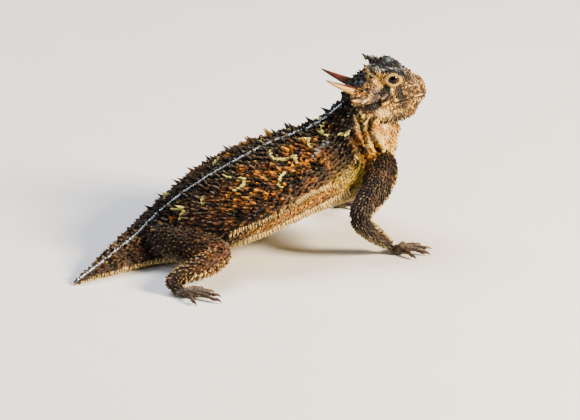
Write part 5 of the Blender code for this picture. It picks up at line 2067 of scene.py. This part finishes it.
        groups = {
            "scales_head": head,
            "scales_belly": belly,
            "scales_flank_right": back_group & right,
            "scales_flank_left": back_group & ~right,
            "scales_limbs_right": limb & right,
            "scales_limbs_left": limb & ~right,
        }
        for name, chosen in groups.items():
            for number, kind in enumerate((Form.KEELED, Form.TUBERCLE, Form.PLATE)):
                rows = chosen & (form == number)
                if rows.any():
                    roots = Roots(kind, spots[rows], ways[rows], lies[rows], sizes[rows], tilt[rows],
                                  tone[rows], None, glint[rows])
                    self.groups.setdefault(name, []).append(roots)

    def build(self, finish: bpy.types.Material) -> None:
        """Lay out and build every coat piece.

        Args:
            finish: the scales' material.
        """
        self.stripe()
        self.rims()
        self.back_spines()
        self.fringes()
        self.lids()
        self.lips()
        self.head_rows()
        self.digit_scutes()
        self.limb_edges()
        self.cover()
        coat = Coat(self.plan, self.chart, self.markings, finish)
        slots = {
            "scales_head": "head_skin",
            "scales_limbs_right": "limb_skin",
            "scales_limbs_left": "limb_skin",
        }
        for name, batches in self.groups.items():
            coat.build(name, slots.get(name, "trunk_skin"), batches)


@dataclass
class Eye:
    """One glossy eyeball with its dark iris and pupil."""

    plan: BodyPlan
    skin: Skin
    side: Side
    rings: int = 40
    sides: int = 56
    iris_angle: float = 40.0
    pupil_angle: float = 24.0

    def build(self, finish: bpy.types.Material) -> bpy.types.Object:
        """Make and paint the eyeball.

        Args:
            finish: the wet cornea's material.

        Returns:
            The eyeball piece.
        """
        centre, out, ahead, up = self.skin.eye_axes(self.side)
        tilt = np.radians(np.linspace(1.5, 178.5, self.rings))
        turn = np.linspace(0.0, 2.0 * math.pi, self.sides, endpoint=False)
        radius = self.plan.eye_radius * (1.0 + 0.03 * hump(np.degrees(tilt), 0.0, 26.0))
        radius = np.minimum(radius, self.plan.eye_radius * 1.02)
        flat = np.cos(turn)[:, None] * ahead + np.sin(turn)[:, None] * up
        way = np.sin(tilt)[:, None, None] * flat + np.cos(tilt)[:, None, None] * out
        sketch = Sketch()
        sketch.add_rings(centre + way * radius[:, None, None])
        degrees = np.repeat(np.degrees(tilt), self.sides)
        streak = np.tile(np.sin(turn * 23.0) * 0.5 + 0.5, self.rings)
        iris = mix(linear("#3a2413"), linear("#6d4a22"), streak * 0.6)
        colour = mix(linear("#050404"), iris, ramp(degrees, self.pupil_angle, self.pupil_angle + 4.0))
        colour = mix(colour, linear("#120c09"), ramp(degrees, self.iris_angle - 3.0, self.iris_angle + 3.0))
        place = self.plan.place(sketch.points[0])
        piece = smooth_piece(f"eyeball_{self.side.label}", place, sketch.faces, colour)
        settle(piece, finish, "eye", f"eye_{self.side.label}")
        return piece


@dataclass
class Horns:
    """The two long horns at the back of the head and the three shorter ones on each side."""

    plan: BodyPlan
    # forward, out, height of the root; direction; length; root radius
    occipital: tuple = ((-9.8, 3.9, 43.1), (-0.92, 0.15, 0.345), 9.4, 1.3)
    temporal: tuple = (
        ((-8.4, 8.8, 41.9), (-0.90, 0.42, 0.0), 3.8, 1.1),
        ((-5.0, 9.0, 42.4), (-0.74, 0.44, -0.5), 3.3, 0.95),
        ((-2.6, 8.6, 42.6), (-0.5, 0.8, -0.3), 2.0, 0.75),
    )
    root_depth: float = 1.3
    grooves: int = 9

    def build_one(self, name: str, horn: tuple, side: Side, finish: bpy.types.Material) -> None:
        """Make one fluted, tapering horn, pale below and red-brown above with a dark tip.

        Args:
            name: the CAD node that it stands for.
            horn: its root, direction, length and radius.
            side: the side of the head.
            finish: the horn's material.
        """
        (forward, out, height), way, length, radius = horn
        along = self.plan.head_vector(way[0], way[1] * side.value, way[2])
        root = self.plan.head_point(forward, out * side.value, height) - along * self.root_depth
        total = length + self.root_depth
        rows = []
        for share, size in ((0.0, 1.06), (0.15, 1.02), (0.4, 0.78), (0.7, 0.46), (0.9, 0.2), (1.0, 0.05)):
            point = root + along * total * share + np.array((0.0, 0.0, 0.9 * share * share))
            rows.append((*point, radius * size, radius * size))
        rings = path_rings(np.array(rows), 36, 8)
        centres = rings.mean(axis=1, keepdims=True)
        share = np.linspace(0.0, 1.0, len(rings))[:, None]
        turn = np.linspace(0.0, 2.0 * math.pi, 36, endpoint=False)[None]
        flute = 1.0 - 0.05 * (1.0 - share) * (0.5 + 0.5 * np.cos(turn * self.grooves))
        growth = 1.0 + 0.02 * np.sin(share * total * 7.0) * (1.0 - share)
        rings = centres + (rings - centres) * (flute * growth)[..., None]
        sketch = Sketch()
        sketch.add_rings(rings)
        points = sketch.points[0]
        up = unit(rings - centres).reshape(-1, 3)[:, 2]
        reach = np.repeat(share.ravel(), 36)
        streak = noise(points * (1.0, 1.0, 3.0), 0.5, 14.0)
        under = mix(linear("#e3c27a"), linear("#c98f4a"), streak)
        over = mix(linear("#63301f"), linear("#381910"), streak)
        beside = unit(rings - centres).reshape(-1, 3) @ self.plan.head_vector(0.0, side.value, 0.0)
        colour = mix(under, over, ramp(up * 0.9 - beside * 0.75, -0.35, 0.15))
        colour = mix(colour, linear("#20110c"), ramp(reach, 0.55, 0.95))
        if not name.startswith("occipital"):
            colour = mix(linear("#3a3029"), linear("#5c4a3a"), streak)
            pale = 0.9 if name.startswith("temporal_horn_1") else 0.35
            colour = mix(colour, linear("#e2b566"), ramp(reach, 0.4, 0.85) * pale)
        colour = mix(colour, linear("#4d4239"), (1.0 - ramp(reach, 0.1, 0.24)) * 0.7)
        piece = smooth_piece(f"{name}_sheath", self.plan.place(points), sketch.faces, colour)
        settle(piece, finish, "horn", name)

    def build(self, finish: bpy.types.Material) -> None:
        """Make all eight horns.

        Args:
            finish: the horns' material.
        """
        for side in Side:
            self.build_one(f"occipital_horn_{side.label}", self.occipital, side, finish)
            for number, horn in enumerate(self.temporal):
                self.build_one(f"temporal_horn_{number + 1}_{side.label}", horn, side, finish)


@dataclass
class Claws:
    """The curved claw at the end of every finger and toe."""

    plan: BodyPlan
    length: float = 2.2
    radius: float = 0.5
    # share of the length, height over the floor, share of the radius
    curve: tuple = ((0.0, 0.85, 1.0), (0.35, 1.0, 0.85), (0.7, 0.8, 0.5), (1.0, 0.34, 0.12))
    floor_gap: float = 0.02

    def build(self, finish: bpy.types.Material) -> None:
        """Make one piece of claws for each hand and foot.

        Args:
            finish: the claws' material.
        """
        for limb in self.plan.limbs():
            sketch = Sketch()
            for spread, length in limb["digits"]:
                out = self.plan.digit_out(limb, spread)
                root = limb["sole"] + out * (limb["radii"][1] + length - 0.7)
                rows = []
                for share, height, size in self.curve:
                    point = root + out * self.length * share
                    radius = self.radius * size
                    rows.append((point[0], point[1], height, radius * 0.8, radius))
                sketch.add_rings(path_rings(np.array(rows), 14, 5))
            word = "hand" if limb["part"] is Part.ARM else "foot"
            name = f"claws_{word}_{limb['side'].label}"
            points = np.vstack(sketch.points)
            points[:, 2] = np.maximum(points[:, 2], self.floor_gap)
            share = np.tile(np.repeat(np.linspace(0.0, 1.0, 16), 14), len(limb["digits"]))
            colour = mix(linear("#6b4a30"), linear("#1d130d"), ramp(share, 0.1, 0.8))
            settle(smooth_piece(name, self.plan.place(points), sketch.faces, colour), finish, "horn")


def add_node(
    tree: bpy.types.NodeTree, kind: str, links: dict | None = None, **settings: object
) -> bpy.types.Node:
    """Add one shader node.

    Args:
        tree: the material's node tree.
        kind: the node's type name.
        links: input name or number to a socket to link, or to a fixed value.
        settings: attributes of the node.

    Returns:
        The node.
    """
    node = tree.nodes.new(kind)
    for name, value in settings.items():
        setattr(node, name, value)
    for name, value in (links or {}).items():
        if isinstance(value, bpy.types.NodeSocket):
            tree.links.new(value, node.inputs[name])
        else:
            node.inputs[name].default_value = value
    return node


@dataclass(frozen=True)
class HornyFinish:
    """A finish of living keratin whose colour is the painted pattern broken up by fine grain."""

    name: str
    roughness: tuple[float, float]
    # size of the fine and the coarse grain in millimetres
    grain: float
    mottle: float
    relief: float
    contrast: float
    specular: float = 0.5
    coat: float = 0.0
    scatter: float = 0.0
    refraction: float = 1.54
    scatter_depth: float = 0.4

    def make(self) -> bpy.types.Material:
        """Build the material.

        Returns:
            The material, ready to be assigned.
        """
        material = bpy.data.materials.new(self.name)
        material.use_nodes = True
        tree = material.node_tree
        shader = tree.nodes["Principled BSDF"]
        place = add_node(tree, "ShaderNodeTexCoord").outputs["Object"]
        paint = add_node(tree, "ShaderNodeVertexColor", layer_name="Markings").outputs["Color"]
        fine, coarse = (
            add_node(tree, "ShaderNodeTexNoise", {
                "Vector": place, "Scale": 1.0 / (size * MM), "Detail": detail,
            }).outputs["Fac"]
            for size, detail in ((self.grain, 3.0), (self.mottle, 2.0))
        )
        low, high = 1.0 - self.contrast, 1.0 + self.contrast
        # the map's numbered inputs are: value from and to, result from and to
        shade = add_node(tree, "ShaderNodeMapRange", {"Value": coarse, 1: 0.3, 2: 0.7, 3: low, 4: high})
        speck = add_node(tree, "ShaderNodeMapRange", {"Value": fine, 1: 0.35, 2: 0.7, 3: 0.86, 4: 1.12})
        both = add_node(
            tree, "ShaderNodeMath", {0: shade.outputs[0], 1: speck.outputs[0]}, operation="MULTIPLY"
        )
        tint = add_node(
            tree, "ShaderNodeVectorMath", {0: paint, "Scale": both.outputs[0]}, operation="SCALE"
        )
        tree.links.new(tint.outputs[0], shader.inputs["Base Color"])
        gloss = add_node(tree, "ShaderNodeMapRange", {
            "Value": fine, 1: 0.3, 2: 0.7, 3: self.roughness[0], 4: self.roughness[1],
        })
        tree.links.new(gloss.outputs[0], shader.inputs["Roughness"])
        bump = add_node(tree, "ShaderNodeBump", {
            "Height": fine, "Strength": 0.6, "Distance": self.relief * MM,
        })
        tree.links.new(bump.outputs[0], shader.inputs["Normal"])
        shader.inputs["Specular IOR Level"].default_value = self.specular
        shader.inputs["IOR"].default_value = self.refraction
        shader.inputs["Coat Weight"].default_value = self.coat
        shader.inputs["Subsurface Weight"].default_value = self.scatter
        shader.inputs["Subsurface Scale"].default_value = self.scatter_depth * MM
        return material


@dataclass(frozen=True)
class CorneaFinish:
    """Wet clear cornea over a dark iris: black with one crisp highlight."""

    name: str = "wet_cornea_over_dark_iris"
    roughness: float = 0.04
    refraction: float = 1.376

    def make(self) -> bpy.types.Material:
        """Build the material.

        Returns:
            The material, ready to be assigned.
        """
        material = bpy.data.materials.new(self.name)
        material.use_nodes = True
        tree = material.node_tree
        shader = tree.nodes["Principled BSDF"]
        paint = add_node(tree, "ShaderNodeVertexColor", layer_name="Markings").outputs["Color"]
        place = add_node(tree, "ShaderNodeTexCoord").outputs["Object"]
        film = add_node(tree, "ShaderNodeTexNoise", {"Vector": place, "Scale": 900.0, "Detail": 2.0})
        gloss = add_node(tree, "ShaderNodeMapRange", {
            "Value": film.outputs["Fac"], 1: 0.3, 2: 0.7, 3: self.roughness, 4: self.roughness * 2.0,
        })
        tree.links.new(paint, shader.inputs["Base Color"])
        tree.links.new(gloss.outputs[0], shader.inputs["Roughness"])
        shader.inputs["IOR"].default_value = self.refraction
        return material


# Dry folded skin between the scales: painted dark for the shade between them, and matt, so the scales stand
# out against it.
SKIN_FINISH = HornyFinish("dry_folded_lizard_skin", (0.62, 0.85), 0.16, 1.1, 0.05, 0.25, 0.35, 0.0, 0.05)
# Horny scales, grown in layers and worn at the keel: a low broken gloss on each facet.
SCALE_FINISH = HornyFinish("worn_keratin_scales", (0.42, 0.68), 0.14, 0.7, 0.03, 0.3, 0.35)
# Horn sheath of dense fluted keratin, rubbed smooth: a soft gloss along its length.
HORN_FINISH = HornyFinish("rubbed_horn_keratin", (0.3, 0.5), 0.22, 1.2, 0.02, 0.2, 0.5, 0.15, 0.06)
# Claws of the same keratin, worn by sand: darker and less glossy.
CLAW_FINISH = HornyFinish("sand_worn_claw_keratin", (0.35, 0.55), 0.2, 0.9, 0.02, 0.2, 0.5)


@dataclass
class Studio:
    """A pale floor, soft lights and a camera at the photograph's angle."""

    plan: BodyPlan
    azimuth: float = -20.0
    elevation: float = 20.0
    distance: float = 1.35
    look_at: tuple = (38.3, -3.3, 10.1)
    view_width: float = 0.1611
    sensor: float = 36.0
    lamp_distance: float = 0.8
    lamp_lift: float = 0.02
    # name, azimuth, elevation, side in metres, power in watts, colour
    lights: tuple = (
        ("key", 50.0, 27.0, 0.2, 21.0, "#ffe9c8"),
        ("fill", -70.0, 34.0, 0.9, 3.0, "#e9f0ff"),
        ("top", -165.0, 60.0, 0.5, 7.0, "#f3f6ff"),
    )
    world_colour: tuple = (0.8, 0.82, 0.85, 1.0)
    world_strength: float = 0.2
    floor_radius: float = 7.0
    floor_drop: float = 0.00002

    def direction(self, azimuth: float, elevation: float) -> Vector:
        """From the object towards a place round it."""
        a, e = math.radians(azimuth), math.radians(elevation)
        return Vector((math.sin(a) * math.cos(e), -math.cos(a) * math.cos(e), math.sin(e)))

    def light(
        self, name: str, azimuth: float, elevation: float, size: float, power: float, code: str
    ) -> None:
        """Add one soft area light aimed at the animal.

        Args:
            name: the light's name.
            azimuth: where it stands, in degrees like the camera's.
            elevation: its height in degrees.
            size: its side in metres.
            power: its power in watts.
            code: its sRGB colour.
        """
        data = bpy.data.lights.new(name, "AREA")
        data.size = size
        data.energy = power
        data.color = linear(code).tolist()
        lamp = bpy.data.objects.new(name, data)
        back = self.direction(azimuth, elevation)
        lamp.location = back * self.lamp_distance + Vector((0.0, 0.0, self.lamp_lift))
        lamp.rotation_mode = "QUATERNION"
        lamp.rotation_quaternion = (-back).to_track_quat("-Z", "Y")
        bpy.context.scene.collection.objects.link(lamp)

    def floor(self) -> None:
        """Lay a wide pale floor of fine plaster."""
        shape = bmesh.new()
        bmesh.ops.create_circle(shape, cap_ends=True, radius=self.floor_radius, segments=96)
        mesh = bpy.data.meshes.new("floor")
        shape.to_mesh(mesh)
        shape.free()
        floor = bpy.data.objects.new("floor", mesh)
        floor.location = (0.0, 0.0, -self.floor_drop)
        bpy.context.scene.collection.objects.link(floor)
        material = bpy.data.materials.new("smooth_pale_plaster")
        material.use_nodes = True
        tree = material.node_tree
        shader = tree.nodes["Principled BSDF"]
        place = add_node(tree, "ShaderNodeTexCoord").outputs["Object"]
        grain = add_node(tree, "ShaderNodeTexNoise", {"Vector": place, "Scale": 40.0, "Detail": 4.0})
        tone = add_node(tree, "ShaderNodeMapRange", {"Value": grain.outputs["Fac"], 3: 0.66, 4: 0.69})
        tree.links.new(tone.outputs[0], shader.inputs["Base Color"])
        shader.inputs["Roughness"].default_value = 0.85
        mesh.materials.append(material)

    def build(self) -> None:
        """Set the floor, the lights, the world and the camera."""
        self.floor()
        for lamp in self.lights:
            self.light(*lamp)
        world = bpy.data.worlds.new("studio")
        world.use_nodes = True
        sky = world.node_tree.nodes["Background"]
        sky.inputs["Color"].default_value = self.world_colour
        sky.inputs["Strength"].default_value = self.world_strength
        bpy.context.scene.world = world
        bpy.context.scene.view_settings.look = "AgX - Medium High Contrast"
        data = bpy.data.cameras.new("camera")
        data.sensor_width = self.sensor
        data.lens = self.sensor * self.distance / self.view_width
        data.clip_start = 0.01
        data.clip_end = 50.0
        camera = bpy.data.objects.new("camera", data)
        back = self.direction(self.azimuth, self.elevation)
        target = Vector(self.plan.place(np.array(self.look_at)))
        camera.location = target + back * self.distance
        camera.rotation_mode = "QUATERNION"
        camera.rotation_quaternion = (-back).to_track_quat("-Z", "Y")
        bpy.context.scene.collection.objects.link(camera)
        bpy.context.scene.camera = camera


def flesh_nodes() -> list[str]:
    """The CAD nodes that the skin stands for."""
    return [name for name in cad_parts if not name.startswith(("eye_", "occipital_", "temporal_"))]


def main() -> None:
    """Build the lizard piece by piece and set the studio."""
    logging.basicConfig(level=logging.INFO, format="%(name)s %(message)s")
    plan = BodyPlan()
    log.info("shift %s", plan.shift.round(3))
    Studio(plan).build()
    chart = Chart(plan)
    chart.build()
    log.info("chart of %d points", len(chart.rows[0]))
    markings = Markings(plan)
    skin = Skin(plan, chart)
    settle(skin.build(markings), SKIN_FINISH.make(), "trunk_skin", *flesh_nodes())
    cornea = CorneaFinish().make()
    for side in Side:
        Eye(plan, skin, side).build(cornea)
    Horns(plan).build(HORN_FINISH.make())
    Claws(plan).build(CLAW_FINISH.make())
    Squama(plan, chart, skin, markings).build(SCALE_FINISH.make())


if __name__ == "__main__":
    main()
